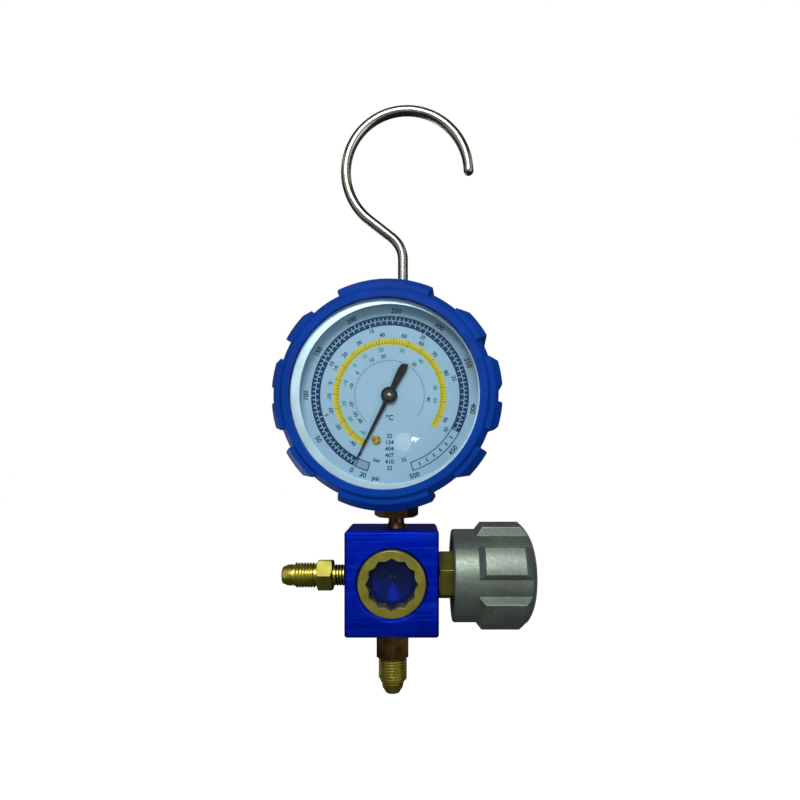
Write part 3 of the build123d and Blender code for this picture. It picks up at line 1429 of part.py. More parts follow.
with BuildPart() as hook_nut:
    hex_bar(hook_plane, hook_nut_flats, nut_bottom, washer_bottom - running_gap)
    disc(hook_plane, hook_thread_radius, 0, case_radius, Mode.SUBTRACT)
hook_nut.part.label = "hook_nut"
export_step(hook_nut.part, "parts/hook_nut.step")

with BuildPart() as hook_washer:
    ring(hook_plane, hook_thread_radius + fit_gap, hook_washer_radius, washer_bottom, washer_top)
hook_washer.part.label = "hook_washer"
export_step(hook_washer.part, "parts/hook_washer.step")
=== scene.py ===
"""Looks of the refrigerant manifold gauge, laid out as a Blender add-on."""

import json
from math import cos, pi, radians, sin, sqrt

import bmesh
import bpy
from mathutils import Matrix, Vector


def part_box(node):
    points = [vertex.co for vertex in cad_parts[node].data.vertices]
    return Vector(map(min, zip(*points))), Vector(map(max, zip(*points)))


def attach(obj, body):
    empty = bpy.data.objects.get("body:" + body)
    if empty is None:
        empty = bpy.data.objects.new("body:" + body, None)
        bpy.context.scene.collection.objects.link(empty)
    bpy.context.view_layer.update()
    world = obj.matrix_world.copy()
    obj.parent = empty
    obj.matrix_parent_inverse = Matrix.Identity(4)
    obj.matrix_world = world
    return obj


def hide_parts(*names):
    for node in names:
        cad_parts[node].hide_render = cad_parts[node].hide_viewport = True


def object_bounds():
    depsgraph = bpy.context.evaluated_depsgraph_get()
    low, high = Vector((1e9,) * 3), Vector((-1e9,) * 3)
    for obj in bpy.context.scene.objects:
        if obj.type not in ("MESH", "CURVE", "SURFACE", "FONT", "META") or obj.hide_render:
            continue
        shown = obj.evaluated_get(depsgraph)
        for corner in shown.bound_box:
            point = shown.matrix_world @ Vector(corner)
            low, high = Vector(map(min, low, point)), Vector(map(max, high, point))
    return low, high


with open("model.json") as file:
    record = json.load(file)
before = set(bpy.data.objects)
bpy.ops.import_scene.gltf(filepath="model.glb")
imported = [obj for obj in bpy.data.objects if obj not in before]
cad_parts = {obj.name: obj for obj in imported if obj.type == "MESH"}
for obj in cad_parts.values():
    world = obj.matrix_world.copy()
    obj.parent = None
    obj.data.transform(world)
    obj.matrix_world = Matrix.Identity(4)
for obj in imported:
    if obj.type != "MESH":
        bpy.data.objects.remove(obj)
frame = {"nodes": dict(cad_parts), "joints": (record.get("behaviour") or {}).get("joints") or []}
cad_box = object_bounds()

bl_info = {
    "name": "Refrigerant Manifold Gauge",
    "version": (1, 0, 0),
    "blender": (4, 5, 0),
    "location": "View3D > Sidebar > Manifold Gauge",
    "description": "Finishes, dial print and threads of a single-valve manifold gauge",
    "category": "Object",
}

MM = 0.001
nodes = frame["nodes"]
joints = {joint["name"]: joint for joint in frame["joints"]}

# Dial frame: X to the reader's right, Y up, Z out of the dial
DIAL_FRONT = -Vector(joints["pointer_turn"]["axis"]).normalized()
DIAL_UP = Vector((0, 0, 1))
DIAL_RIGHT = DIAL_UP.cross(DIAL_FRONT)
DIAL_FACE = 7.0 * MM  # in front of the pointer joint's point
DIAL_CENTRE = Vector(joints["pointer_turn"]["pos_m"]) + DIAL_FRONT * DIAL_FACE
PRINT_LAYER = 0.02 * MM  # one coat of print above the next
PRINT_THICKNESS = 0.012 * MM
FULL_TURN = 360.0

# Scales: angles in degrees clockwise from the top, radii and widths in mm
ZERO_CLOCK = 207.0
PSI_STEP = 315.52 / 500.0
PSI_IN_BAR = 14.504
BAR_STEP = PSI_STEP * PSI_IN_BAR
BAND_INNER, BAND_MIDDLE, BAND_OUTER = 29.8, 31.8, 33.8
BAND_START, BAND_STOP = 206.0, 478.0
BAND_TICK, BAND_TICK_WIDTH = 1.3, 0.42
BOX_START, BOX_STOP, BOX_LINE = 196.3, 522.5, 0.4
BOX_DASH_STEP = 6.36
ARC_INNER, ARC_OUTER = 21.5, 24.3
ARC_START, ARC_STOP, ARC_TICK_STEP = 205.6, 486.0, 3.1
CIRCLE_RADIUS, CIRCLE_LINE, CIRCLE_TICK_STEP = 14.8, 0.06, 5.3
CIRCLE_START, CIRCLE_STOP = 222.0, 487.0
PSI_FIGURES, BAR_FIGURES = 35.9, 28.3
ARC_FIGURES, GREEN_FIGURES, INSIDE_FIGURES = 25.8, 19.6, 16.7
SMALL_FIGURES = 0.92  # height of the two inside rings, against the inner figures
LOWER_START, LOWER_STOP = 115, 245  # figures between these stand upright
CAP_HEIGHT = 0.72  # of the built-in font, for a size of 1

WELD = 1e-7  # points nearer than this are one
SMOOTH_BELOW = radians(32)
CHAMFER_SLOPE = 0.577


# ---------------------------------------------------------------- settings
class GaugeColours(bpy.types.PropertyGroup):
    """Colours a user would change"""

    block: bpy.props.FloatVectorProperty(
        name="Block", description="Anodised block", subtype="COLOR",
        default=(0.002, 0.024, 0.82))
    boot: bpy.props.FloatVectorProperty(
        name="Boot", description="Rubber boot", subtype="COLOR",
        default=(0.0, 0.033, 0.25))
    brass: bpy.props.FloatVectorProperty(
        name="Brass", description="Machined brass", subtype="COLOR",
        default=(0.52, 0.475, 0.085))
    # Brass of the gauge socket, darkened as painted shade where it sits in shadow under the boot
    stem: bpy.props.FloatVectorProperty(
        name="Stem", description="Oxidised brass", subtype="COLOR",
        default=(0.10, 0.060, 0.026))
    knob: bpy.props.FloatVectorProperty(
        name="Knob", description="Flake paint", subtype="COLOR",
        default=(0.165, 0.205, 0.175))
    steel: bpy.props.FloatVectorProperty(
        name="Hook", description="Bright steel wire", subtype="COLOR",
        default=(0.31, 0.31, 0.27))
    dial: bpy.props.FloatVectorProperty(
        name="Dial", description="Dial enamel", subtype="COLOR",
        default=(0.325, 0.55, 0.73))
    band: bpy.props.FloatVectorProperty(
        name="Band", description="Dark print of the outer scale", subtype="COLOR",
        default=(0.005, 0.036, 0.11))
    arc: bpy.props.FloatVectorProperty(
        name="Arc", description="Yellow print", subtype="COLOR",
        default=(0.62, 0.56, 0.02))
    green: bpy.props.FloatVectorProperty(
        name="Green print", description="Green numbers", subtype="COLOR",
        default=(0.01, 0.28, 0.22))


class GaugeSizes(bpy.types.PropertyGroup):
    """Sizes a user would change"""

    thread_pitch: bpy.props.FloatProperty(
        name="Thread pitch", description="20 threads to the inch", default=1.27 * MM, unit="LENGTH")
    thread_depth: bpy.props.FloatProperty(
        name="Thread depth", description="Crest to root", default=0.72 * MM, unit="LENGTH")
    outer_figures: bpy.props.FloatProperty(
        name="Outer figures", description="Height of the outer numbers",
        default=2.1 * MM, unit="LENGTH")
    inner_figures: bpy.props.FloatProperty(
        name="Inner figures", description="Height of the inner numbers",
        default=1.7 * MM, unit="LENGTH")
    floor_drop: bpy.props.FloatProperty(
        name="Floor drop", description="Floor below the object", default=0.30, unit="LENGTH")


# ---------------------------------------------------------------- finishes
class Nodes:
    """Short calls for building one material's nodes."""

    def __init__(self, name):
        self.material = bpy.data.materials.new(name)
        self.material.use_nodes = True
        self.tree = self.material.node_tree
        self.shader = self.tree.nodes["Principled BSDF"]
        self.place = self.node("ShaderNodeTexCoord").outputs["Object"]

    def node(self, kind, **settings):
        made = self.tree.nodes.new(kind)
        for key, value in settings.items():
            setattr(made, key, value)
        return made

    def link(self, source, target):
        self.tree.links.new(source, target)

    def stretched(self, scale):
        """Object coordinates scaled unevenly."""
        mapping = self.node("ShaderNodeMapping")
        mapping.inputs["Scale"].default_value = scale
        self.link(self.place, mapping.inputs["Vector"])
        return mapping.outputs["Vector"]

    def noise(self, per_metre, detail=3.0, roughness=0.55, vector=None):
        texture = self.node("ShaderNodeTexNoise")
        texture.inputs["Scale"].default_value = per_metre
        texture.inputs["Detail"].default_value = detail
        texture.inputs["Roughness"].default_value = roughness
        self.link(vector or self.place, texture.inputs["Vector"])
        return texture.outputs["Fac"]

    def ramp(self, source, low, high, at_low=0.0, at_high=1.0):
        """A value brought from one span into another."""
        fitted = self.node("ShaderNodeMapRange", clamp=True)
        fitted.inputs["From Min"].default_value = low
        fitted.inputs["From Max"].default_value = high
        fitted.inputs["To Min"].default_value = at_low
        fitted.inputs["To Max"].default_value = at_high
        self.link(source, fitted.inputs["Value"])
        return fitted.outputs["Result"]

    def blend(self, share, first, second):
        """Two colours mixed; each is a colour or a socket."""
        mix = self.node("ShaderNodeMix", data_type="RGBA")
        self.link(share, mix.inputs[0])
        for socket, colour in ((mix.inputs[6], first), (mix.inputs[7], second)):
            if isinstance(colour, bpy.types.NodeSocket):
                self.link(colour, socket)
            else:
                socket.default_value = (*colour[:3], 1)
        return mix.outputs[2]

    def bump(self, source, height, below=None):
        """A height in metres added to the normal."""
        bump = self.node("ShaderNodeBump")
        bump.inputs["Strength"].default_value = 1.0
        bump.inputs["Distance"].default_value = height
        self.link(source, bump.inputs["Height"])
        if below:
            self.link(below, bump.inputs["Normal"])
        return bump.outputs["Normal"]

    def edges(self, radius, gain):
        """High on edges sharper than a radius."""
        soft = self.node("ShaderNodeBevel", samples=4)
        soft.inputs["Radius"].default_value = radius
        true = self.node("ShaderNodeNewGeometry")
        dot = self.node("ShaderNodeVectorMath", operation="DOT_PRODUCT")
        self.link(soft.outputs["Normal"], dot.inputs[0])
        self.link(true.outputs["Normal"], dot.inputs[1])
        return self.ramp(dot.outputs["Value"], 1.0, 1.0 - gain)

    def soft_edges(self, radius):
        soft = self.node("ShaderNodeBevel", samples=4)
        soft.inputs["Radius"].default_value = radius
        return soft.outputs["Normal"]

    def finish(self, colour, roughness, normal=None, metallic=0.0, **sockets):
        """Wires the shader; a plain number goes on its own socket."""
        self.shader.inputs["Metallic"].default_value = metallic
        for name, value in (("Base Color", colour), ("Roughness", roughness), ("Normal", normal)):
            if isinstance(value, bpy.types.NodeSocket):
                self.link(value, self.shader.inputs[name])
            elif value is not None:
                self.shader.inputs[name].default_value = value
        for name, value in sockets.items():
            self.shader.inputs[name.replace("_", " ")].default_value = value
        return self.material


def shade(colour, factor):
    return tuple(min(1.0, channel * factor) for channel in colour[:3])


def dress(material, *names):
    """Puts a finish on CAD nodes."""
    for name in names:
        for material_slot in nodes[name].material_slots:
            material_slot.material = material


def machined(name, colour, roughness, tarnish, marks_per_metre=260.0, metallic=1.0):
    """Turned or milled metal with tool marks, stains and bright edges."""
    metal = Nodes(name)
    stain = metal.ramp(metal.noise(190.0, 2.0, 0.5), 0.40, 0.70)
    marks = metal.noise(marks_per_metre, 2.0, 0.5, metal.stretched((1.0, 7.0, 7.0)))
    worn = metal.edges(0.25 * MM, 0.3)
    base = metal.blend(stain, colour, tarnish)
    base = metal.blend(worn, base, shade(colour, 1.35))
    rough = metal.ramp(metal.noise(220.0, 2.0), 0.3, 0.7, roughness - 0.03, roughness + 0.04)
    normal = metal.bump(marks, 0.0008 * MM, metal.soft_edges(0.12 * MM))
    normal = metal.bump(metal.noise(2500.0, 2.0), 0.0002 * MM, normal)
    return metal.finish(base, rough, normal, metallic)


def moulded(name, colour, roughness, grain, scuff=1.5, **sockets):
    """Moulded rubber or plastic with a fine grain and pale scuffs."""
    skin = Nodes(name)
    mottle = skin.ramp(skin.noise(60.0, 4.0), 0.35, 0.65)
    drawn = skin.noise(420.0, 6.0, 0.7, skin.stretched((1.0, 1.0, 0.35)))
    scuffs = skin.ramp(drawn, 0.60, 0.78, 0.0, 0.35)
    base = skin.blend(mottle, shade(colour, 0.86), shade(colour, 1.1))
    base = skin.blend(scuffs, base, shade(colour, scuff))
    rough = skin.ramp(skin.noise(300.0, 4.0), 0.3, 0.7, roughness - 0.08, roughness + 0.1)
    normal = skin.bump(skin.noise(2200.0, 3.0), grain, skin.soft_edges(0.35 * MM))
    return skin.finish(base, rough, normal, **sockets)


class GAUGE_OT_block(bpy.types.Operator):
    """Brushed blue anodising on the manifold block"""

    bl_idname = "gauge.block"
    bl_label = "Block"

    def execute(self, context):
        colour = context.scene.gauge_colours.block
        metal = Nodes("anodised_block")
        brushed = metal.noise(320.0, 4.0, 0.6, metal.stretched((0.10, 1.4, 3.2)))
        cloud = metal.ramp(metal.noise(55.0, 4.0), 0.35, 0.68)
        base = metal.blend(cloud, shade(colour, 0.72), shade(colour, 1.12))
        streak = metal.ramp(brushed, 0.50, 0.68, 0.0, 0.7)
        base = metal.blend(streak, base, (0.012, 0.08, 1.0))
        nicks = metal.ramp(metal.noise(900.0, 5.0, 0.7), 0.70, 0.76, 0.0, 0.6)
        base = metal.blend(nicks, base, shade(colour, 0.35))
        base = metal.blend(metal.edges(0.3 * MM, 0.35), base, (0.004, 0.012, 0.25))
        rough = metal.ramp(brushed, 0.3, 0.7, 0.30, 0.46)
        normal = metal.bump(brushed, 0.03 * MM, metal.soft_edges(0.2 * MM))
        dress(metal.finish(base, rough, normal, 1.0), "manifold_block")
        return {"FINISHED"}


class GAUGE_OT_boot(bpy.types.Operator):
    """Blue rubber of the gauge's boot"""

    bl_idname = "gauge.boot"
    bl_label = "Boot"

    def execute(self, context):
        colour = context.scene.gauge_colours.boot
        rubber = moulded("boot_rubber", colour, 0.52, 0.012 * MM, 1.7, Specular_IOR_Level=0.06)
        dress(rubber, "gauge_boot")
        return {"FINISHED"}


class GAUGE_OT_knob(bpy.types.Operator):
    """Silver-grey flake paint on the hand valve's knob, and its cap and screw"""

    bl_idname = "gauge.knob"
    bl_label = "Knob"

    def execute(self, context):
        colour = context.scene.gauge_colours.knob
        paint = Nodes("knob_paint")
        flakes = paint.node("ShaderNodeTexVoronoi")
        flakes.inputs["Scale"].default_value = 2600.0
        paint.link(paint.place, flakes.inputs["Vector"])
        spark = paint.ramp(flakes.outputs["Distance"], 0.05, 0.32, 1.0, 0.0)
        patchy = paint.ramp(paint.noise(1500.0, 2.0), 0.48, 0.66)
        glint = paint.node("ShaderNodeMath", operation="MULTIPLY")
        paint.link(spark, glint.inputs[0])
        paint.link(patchy, glint.inputs[1])
        cloud = paint.ramp(paint.noise(90.0, 4.0), 0.35, 0.65)
        base = paint.blend(cloud, shade(colour, 0.85), shade(colour, 1.06))
        base = paint.blend(glint.outputs["Value"], base, (0.95, 0.97, 0.92))
        base = paint.blend(paint.edges(0.3 * MM, 0.5), base, shade(colour, 1.25))
        rough = paint.ramp(paint.noise(700.0, 3.0), 0.3, 0.7, 0.34, 0.50)
        normal = paint.bump(paint.noise(1900.0, 4.0, 0.6), 0.02 * MM, paint.soft_edges(0.5 * MM))
        dress(paint.finish(base, rough, normal, 0.75), "knob")
        cap = moulded("knob_cap_plastic", (0.045, 0.05, 0.05), 0.38, 0.008 * MM)
        dress(cap, "knob_cap")
        return {"FINISHED"}


class GAUGE_OT_metals(bpy.types.Operator):
    """Brass, zinc, bronze, steel and painted metal of the small pieces"""

    bl_idname = "gauge.metals"
    bl_label = "Metals"

    def execute(self, context):
        colours = context.scene.gauge_colours
        tarnish = shade(colours.brass, 0.75)
        brass = machined("turned_brass", colours.brass, 0.32, tarnish, metallic=0.95)
        dress(
            brass, "sight_glass_retainer", "valve_bonnet", "flow_restrictor", "tube_tip",
            "movement_rear_plate", "movement_front_plate", "movement_pillars", "valve_spindle",
            "sector_gear", "movement_link", "left_flare_fitting", "bottom_flare_fitting",
        )
        # Socket brass darkened as painted shade, for the shadow under the boot
        stem = machined("socket_brass_painted_shade", colours.stem, 0.34, shade(colours.stem, 0.35))
        dress(stem, "gauge_socket")
        gold = machined("bright_brass", (0.72, 0.47, 0.06), 0.24, (0.40, 0.25, 0.03))
        dress(gold, "zero_adjust_screw")
        zinc = machined("zinc_plate", (0.55, 0.56, 0.53), 0.30, (0.34, 0.35, 0.33))
        dress(
            zinc, "case_screws", "movement_screws", "pillar_screws", "hook_washer", "hook_nut",
            "knob_washer", "knob_screw", "sector_arbor", "pinion_spindle",
        )
        bronze = machined("spring_bronze", (0.44, 0.27, 0.12), 0.30, (0.22, 0.12, 0.05))
        dress(bronze, "bourdon_tube", "hairspring")
        steel = machined("hook_steel", colours.steel, 0.27, shade(colours.steel, 0.85), 90.0)
        dress(steel, "hanging_hook")
        silver = Nodes("satin_silver")
        cloud = silver.ramp(silver.noise(70.0, 4.0), 0.35, 0.65)
        base = silver.blend(cloud, (0.46, 0.68, 0.80), (0.52, 0.74, 0.86))
        rough = silver.ramp(silver.noise(200.0, 3.0), 0.3, 0.7, 0.32, 0.42)
        normal = silver.bump(silver.noise(600.0, 2.0), 0.001 * MM, silver.soft_edges(0.15 * MM))
        dress(silver.finish(base, rough, normal, 0.65), "bezel_ring", "gauge_case", "dial_spacer")
        black = moulded(
            "pointer_black", (0.004, 0.004, 0.005), 0.5, 0.004 * MM, Specular_IOR_Level=0.12)
        dress(black, "pointer")
        hub = machined("hub_grey", (0.045, 0.05, 0.045), 0.40, (0.02, 0.022, 0.02))
        dress(hub, "pointer_hub")
        return {"FINISHED"}


class GAUGE_OT_soft_parts(bpy.types.Operator):
    """Seals, the seat disc and both glasses"""

    bl_idname = "gauge.soft_parts"
    bl_label = "Seals and glass"

    def execute(self, context):
        nitrile = moulded("nitrile", (0.012, 0.012, 0.013), 0.5, 0.01 * MM, 2.5)
        dress(
            nitrile, "sight_glass_seal", "bonnet_seal", "lens_gasket",
            "spindle_inner_o_ring", "spindle_outer_o_ring",
        )
        seat = moulded("ptfe", (0.78, 0.78, 0.74), 0.4, 0.004 * MM, 1.1)
        dress(seat, "spindle_seat_disc")
        for name, tint, alpha in (
            ("gauge_lens", (0.05, 0.08, 0.10), 0.10),
            ("sight_glass_lens", (0.003, 0.01, 0.06), 0.45),
        ):
            glass = Nodes(name + "_glass")
            smears = glass.ramp(glass.noise(120.0, 5.0, 0.6), 0.45, 0.8, 0.015, 0.10)
            shaded = glass.blend(glass.ramp(glass.noise(40.0), 0.3, 0.7), tint, shade(tint, 0.9))
            glass.finish(shaded, smears, None, 0.0, IOR=1.5, Alpha=alpha, Specular_IOR_Level=0.8)
            dress(glass.material, name)
        return {"FINISHED"}


def stand(name, sheet, material):
    """An object in the scene from a bmesh, which is freed."""
    mesh = bpy.data.meshes.new(name)
    sheet.to_mesh(mesh)
    sheet.free()
    mesh.materials.append(material)
    piece = bpy.data.objects.new(name, mesh)
    bpy.context.scene.collection.objects.link(piece)
    return piece


# ---------------------------------------------------------------- dial print
def on_dial(clock, radius, layer=1, turn=0.0):
    """Matrix that puts a flat shape on the dial at a clock angle, turned anticlockwise."""
    angle = radians(clock)
    spot = Vector((sin(angle), cos(angle), 0)) * radius * MM
    axes = Matrix((DIAL_RIGHT, DIAL_UP, DIAL_FRONT)).transposed().to_4x4()
    here = Matrix.Translation(DIAL_CENTRE) @ axes
    lift = Matrix.Translation((spot.x, spot.y, layer * PRINT_LAYER))
    return here @ lift @ Matrix.Rotation(radians(turn), 4, "Z")


def bar(sheet, clock, inner, outer, width, layer=1):
    """A radial tick between two radii."""
    size = Matrix.Diagonal((width * MM, (outer - inner) * MM, 1, 1))
    place = on_dial(clock, (inner + outer) / 2, layer, -clock) @ size
    bmesh.ops.create_grid(sheet, x_segments=1, y_segments=1, size=0.5, matrix=place)


def ribbon(sheet, start, stop, inner, outer, layer=1):
    """A flat arc between two radii, clockwise."""
    place = on_dial(0, 0, layer)
    ends = []
    for radius in (inner, outer):
        spot = Vector((sin(radians(start)), cos(radians(start)), 0)) * radius * MM
        ends.append(sheet.verts.new(place @ spot))
    edge = sheet.edges.new(ends)
    bmesh.ops.spin(
        sheet, geom=ends + [edge], cent=DIAL_CENTRE, axis=DIAL_FRONT,
        angle=-radians(stop - start), steps=max(2, int((stop - start) / 2)), use_merge=False,
    )


def figures(sheet, words, height, place):
    """Printed figures as flat mesh, centred on a place."""
    curve = bpy.data.curves.new("figures", "FONT")
    curve.body = words
    curve.size = height / CAP_HEIGHT
    curve.align_x = "CENTER"
    curve.align_y = "CENTER"
    curve.resolution_u = 3
    curve.offset = 0.035 * height
    holder = bpy.data.objects.new("figures", curve)
    mesh = bpy.data.meshes.new_from_object(holder)
    mesh.transform(place)
    sheet.from_mesh(mesh)
    bpy.data.objects.remove(holder)
    bpy.data.curves.remove(curve)
    bpy.data.meshes.remove(mesh)


def ring_of_figures(sheet, rows, radius, height):
    """Figures set round the dial, the lower ones turned to read upright."""
    for words, clock in rows:
        lower = LOWER_START < clock % FULL_TURN < LOWER_STOP
        turn = 180 - clock if lower else -clock
        figures(sheet, words, height, on_dial(clock, radius, 1, turn))


def temperatures(*clocks):
    """Rows of figures from -40 up in tens, one at each clock angle."""
    return [(str(-40 + 10 * step), clock) for step, clock in enumerate(clocks)]


def ink(name, colour, fade):
    """Screen print with slight wear."""
    print_ink = Nodes(name)
    patch = print_ink.ramp(print_ink.noise(700.0, 5.0, 0.65), 0.40, 0.75, 0.0, 0.6)
    base = print_ink.blend(patch, colour, fade)
    rough = print_ink.ramp(print_ink.noise(1500.0), 0.3, 0.7, 0.35, 0.5)
    return print_ink.finish(base, rough, None, 0.0, Specular_IOR_Level=0.06)


def lay_print(name, sheet, material):
    """Turns a sheet of print into a piece on the dial."""
    for face in sheet.faces:
        face.normal_update()
        if face.normal.dot(DIAL_FRONT) < 0:
            face.normal_flip()
    bmesh.ops.remove_doubles(sheet, verts=sheet.verts, dist=WELD)
    bmesh.ops.solidify(sheet, geom=sheet.faces[:], thickness=PRINT_THICKNESS)
    bmesh.ops.recalc_face_normals(sheet, faces=sheet.faces)
    piece = stand(name, sheet, material)
    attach(piece, "manifold")


class GAUGE_OT_dial(bpy.types.Operator):
    """Dial enamel, scales and figures"""

    bl_idname = "gauge.dial"
    bl_label = "Dial"

    def execute(self, context):
        colours = context.scene.gauge_colours
        sizes = context.scene.gauge_sizes
        enamel = Nodes("dial_enamel")
        cloud = enamel.ramp(enamel.noise(45.0, 3.0), 0.3, 0.7)
        base = enamel.blend(cloud, shade(colours.dial, 0.95), shade(colours.dial, 1.04))
        rough = enamel.ramp(enamel.noise(900.0), 0.3, 0.7, 0.36, 0.46)
        normal = enamel.bump(enamel.noise(1800.0), 0.002 * MM)
        dress(enamel.finish(base, rough, normal, 0.0, Specular_IOR_Level=0.12), "dial_plate")
        navy = ink("navy_print", colours.band, shade(colours.band, 1.5))
        pale = ink("pale_print", shade(colours.dial, 0.92), shade(colours.dial, 0.7))
        slate = ink("slate_print", (0.012, 0.03, 0.05), (0.04, 0.08, 0.11))
        lilac = ink("lilac_print", (0.26, 0.37, 0.58), (0.22, 0.32, 0.5))

        # Outer band with its boxes at both ends
        sheet = bmesh.new()
        ribbon(sheet, BAND_START, BAND_STOP, BAND_INNER, BAND_OUTER)
        for start, stop in ((BOX_START, BAND_START), (BAND_STOP, BOX_STOP)):
            ribbon(sheet, start, stop, BAND_INNER, BAND_INNER + BOX_LINE)
            ribbon(sheet, start, stop, BAND_OUTER - BOX_LINE, BAND_OUTER)
            for end in (start, stop):
                bar(sheet, end, BAND_INNER, BAND_OUTER, 0.45)
        for step in range(1, 7):
            bar(sheet, BAND_STOP + BOX_DASH_STEP * step, 31.0, 32.6, 0.55)
        lay_print("dial_band", sheet, navy)
        sheet = bmesh.new()
        ribbon(
            sheet, BOX_START + 0.4, BAND_START - 0.2, BAND_INNER + BOX_LINE, BAND_OUTER - BOX_LINE)
        lay_print("dial_vacuum_box", sheet, lilac)

        # Ticks left pale in the band: 5 psi outside, half a bar inside
        sheet = bmesh.new()
        ribbon(sheet, BAND_START, BAND_STOP, BAND_MIDDLE - 0.15, BAND_MIDDLE + 0.15, 2)
        step = 0
        while ZERO_CLOCK + step * 5 * PSI_STEP < BAND_STOP:
            clock = ZERO_CLOCK + step * 5 * PSI_STEP
            high = BAND_OUTER if step % 10 == 0 else BAND_MIDDLE + BAND_TICK
            bar(sheet, clock, BAND_MIDDLE, high, BAND_TICK_WIDTH, 2)
            step += 1
        step = 0
        while ZERO_CLOCK + step * 0.5 * BAR_STEP < BAND_STOP:
            clock = ZERO_CLOCK + step * 0.5 * BAR_STEP
            low = BAND_INNER if step % 10 == 0 else BAND_MIDDLE - BAND_TICK
            bar(sheet, clock, low, BAND_MIDDLE, BAND_TICK_WIDTH, 2)
            step += 1
        lay_print("dial_band_ticks", sheet, pale)

        # Pressure figures outside and inside the band
        sheet = bmesh.new()
        outer = [(str(value), ZERO_CLOCK + value * PSI_STEP) for value in range(0, 501, 50)]
        outer += [("30", 198.5), ("psi", 189.5)]
        ring_of_figures(sheet, outer, PSI_FIGURES, sizes.outer_figures)
        inner = [(str(value), ZERO_CLOCK + value * BAR_STEP) for value in range(0, 36, 5)]
        inner += [("bar", 191.0)]
        ring_of_figures(sheet, inner, BAR_FIGURES, sizes.inner_figures)
        lay_print("dial_pressure_figures", sheet, slate)

        # Yellow arc with its ticks, and the dark temperature figures on both sides of it
        sheet = bmesh.new()
        ribbon(sheet, ARC_START, ARC_STOP, ARC_INNER, ARC_OUTER)
        yellow = ink("yellow_print", colours.arc, (0.50, 0.52, 0.05))
        lay_print("dial_yellow_arc", sheet, yellow)
        sheet = bmesh.new()
        step = 0
        while ARC_START + ARC_TICK_STEP * step < ARC_STOP - 6:
            clock = ARC_START + 4 + ARC_TICK_STEP * step
            if step % 5:
                bar(sheet, clock, 22.1, 23.1, 0.28, 2)
            else:
                bar(sheet, clock, ARC_INNER, ARC_OUTER, 0.3, 2)
            step += 1
        ribbon(sheet, ARC_START, ARC_STOP, 22.05, 22.2, 2)
        olive = ink("olive_print", (0.10, 0.15, 0.02), (0.2, 0.26, 0.04))
        lay_print("dial_arc_ticks", sheet, olive)
        sheet = bmesh.new()
        ring_of_figures(sheet, temperatures(
            218, 239, 255, 268.5, 282, 297, 312.5, 330, 353, 374, 392, 408, 429, 474,
        ), ARC_FIGURES, sizes.inner_figures)
        ring_of_figures(sheet, temperatures(
            230, 242, 256, 283, 305, 333, 351, 399, 456,
        ), INSIDE_FIGURES, sizes.inner_figures * SMALL_FIGURES)
        lay_print("dial_dark_figures", sheet, slate)

        # Green scale inside the arc
        sheet = bmesh.new()
        ring_of_figures(sheet, temperatures(
            216, 240, 259, 285, 311, 327, 349.5, 376, 403, 441, 457,
        ), GREEN_FIGURES, sizes.inner_figures * SMALL_FIGURES)
        green = ink("green_print", colours.green, shade(colours.green, 1.8))
        lay_print("dial_green_figures", sheet, green)

        # Fine inner circle with its ticks, the unit mark and a column of plain numbers
        sheet = bmesh.new()
        ribbon(
            sheet, CIRCLE_START, CIRCLE_STOP,
            CIRCLE_RADIUS - CIRCLE_LINE, CIRCLE_RADIUS + CIRCLE_LINE)
        clock = CIRCLE_START
        while clock <= CIRCLE_STOP:
            bar(sheet, clock, CIRCLE_RADIUS, CIRCLE_RADIUS + 0.75, 0.16)
            clock += CIRCLE_TICK_STEP
        figures(sheet, "°C", 2.2 * MM, on_dial(180, 9.6))
        for row, words in enumerate(("22", "134", "404", "407", "410", "32")):
            figures(sheet, words, 1.8 * MM, on_dial(180, 17.4 + 2.75 * row))
        lay_print("dial_inner_scale", sheet, slate)
        return {"FINISHED"}


# ---------------------------------------------------------------- threaded fittings
def turned(sheet, profile, steps=72):
    """A closed profile of (distance, radius) points turned into a solid about Z."""
    ring = [sheet.verts.new((radius * MM, 0, distance * MM)) for distance, radius in profile]
    edges = [sheet.edges.new((ring[i], ring[(i + 1) % len(ring)])) for i in range(len(ring))]
    bmesh.ops.spin(
        sheet, geom=ring + edges, cent=(0, 0, 0), axis=(0, 0, 1), angle=2 * pi,
        steps=steps, use_merge=True,
    )


def helix(sheet, start, stop, crest, pitch, depth, ease):
    """A ridge wound round Z from start to stop, run out at both ends; sizes in mm."""
    steps_in_turn = 40
    turns = (stop - start) / pitch - 1
    steps = int(turns * steps_in_turn)
    low = crest - depth
    sunk = low - 0.1  # the ridge's foot, inside the core
    profile = (
        (0.04, sunk), (0.5 * pitch - 0.08, crest),
        (0.5 * pitch + 0.08, crest), (pitch - 0.04, sunk))
    ring = [
        sheet.verts.new((radius * MM, 0, (start + distance) * MM)) for distance, radius in profile]
    edges = [sheet.edges.new((ring[i], ring[(i + 1) % 4])) for i in range(4)]
    sheet.faces.new(ring)
    made = bmesh.ops.spin(
        sheet, geom=ring + edges, cent=(0, 0, 0), axis=(0, 0, 1),
        angle=2 * pi * steps / steps_in_turn, steps=steps,
        dvec=(0, 0, pitch * MM / steps_in_turn), use_merge=False,
    )
    last = [item for item in made["geom_last"] if isinstance(item, bmesh.types.BMVert)]
    bmesh.ops.contextual_create(sheet, geom=last)
    for vert in sheet.verts:
        flat = sqrt(vert.co.x ** 2 + vert.co.y ** 2)
        margin = min(vert.co.z / MM - start, stop - vert.co.z / MM)
        allowed = (low + max(0.0, margin) / ease * depth) * MM
        limit = max(allowed, sunk * MM)
        if flat > limit:
            share = limit / flat
            vert.co.x *= share
            vert.co.y *= share


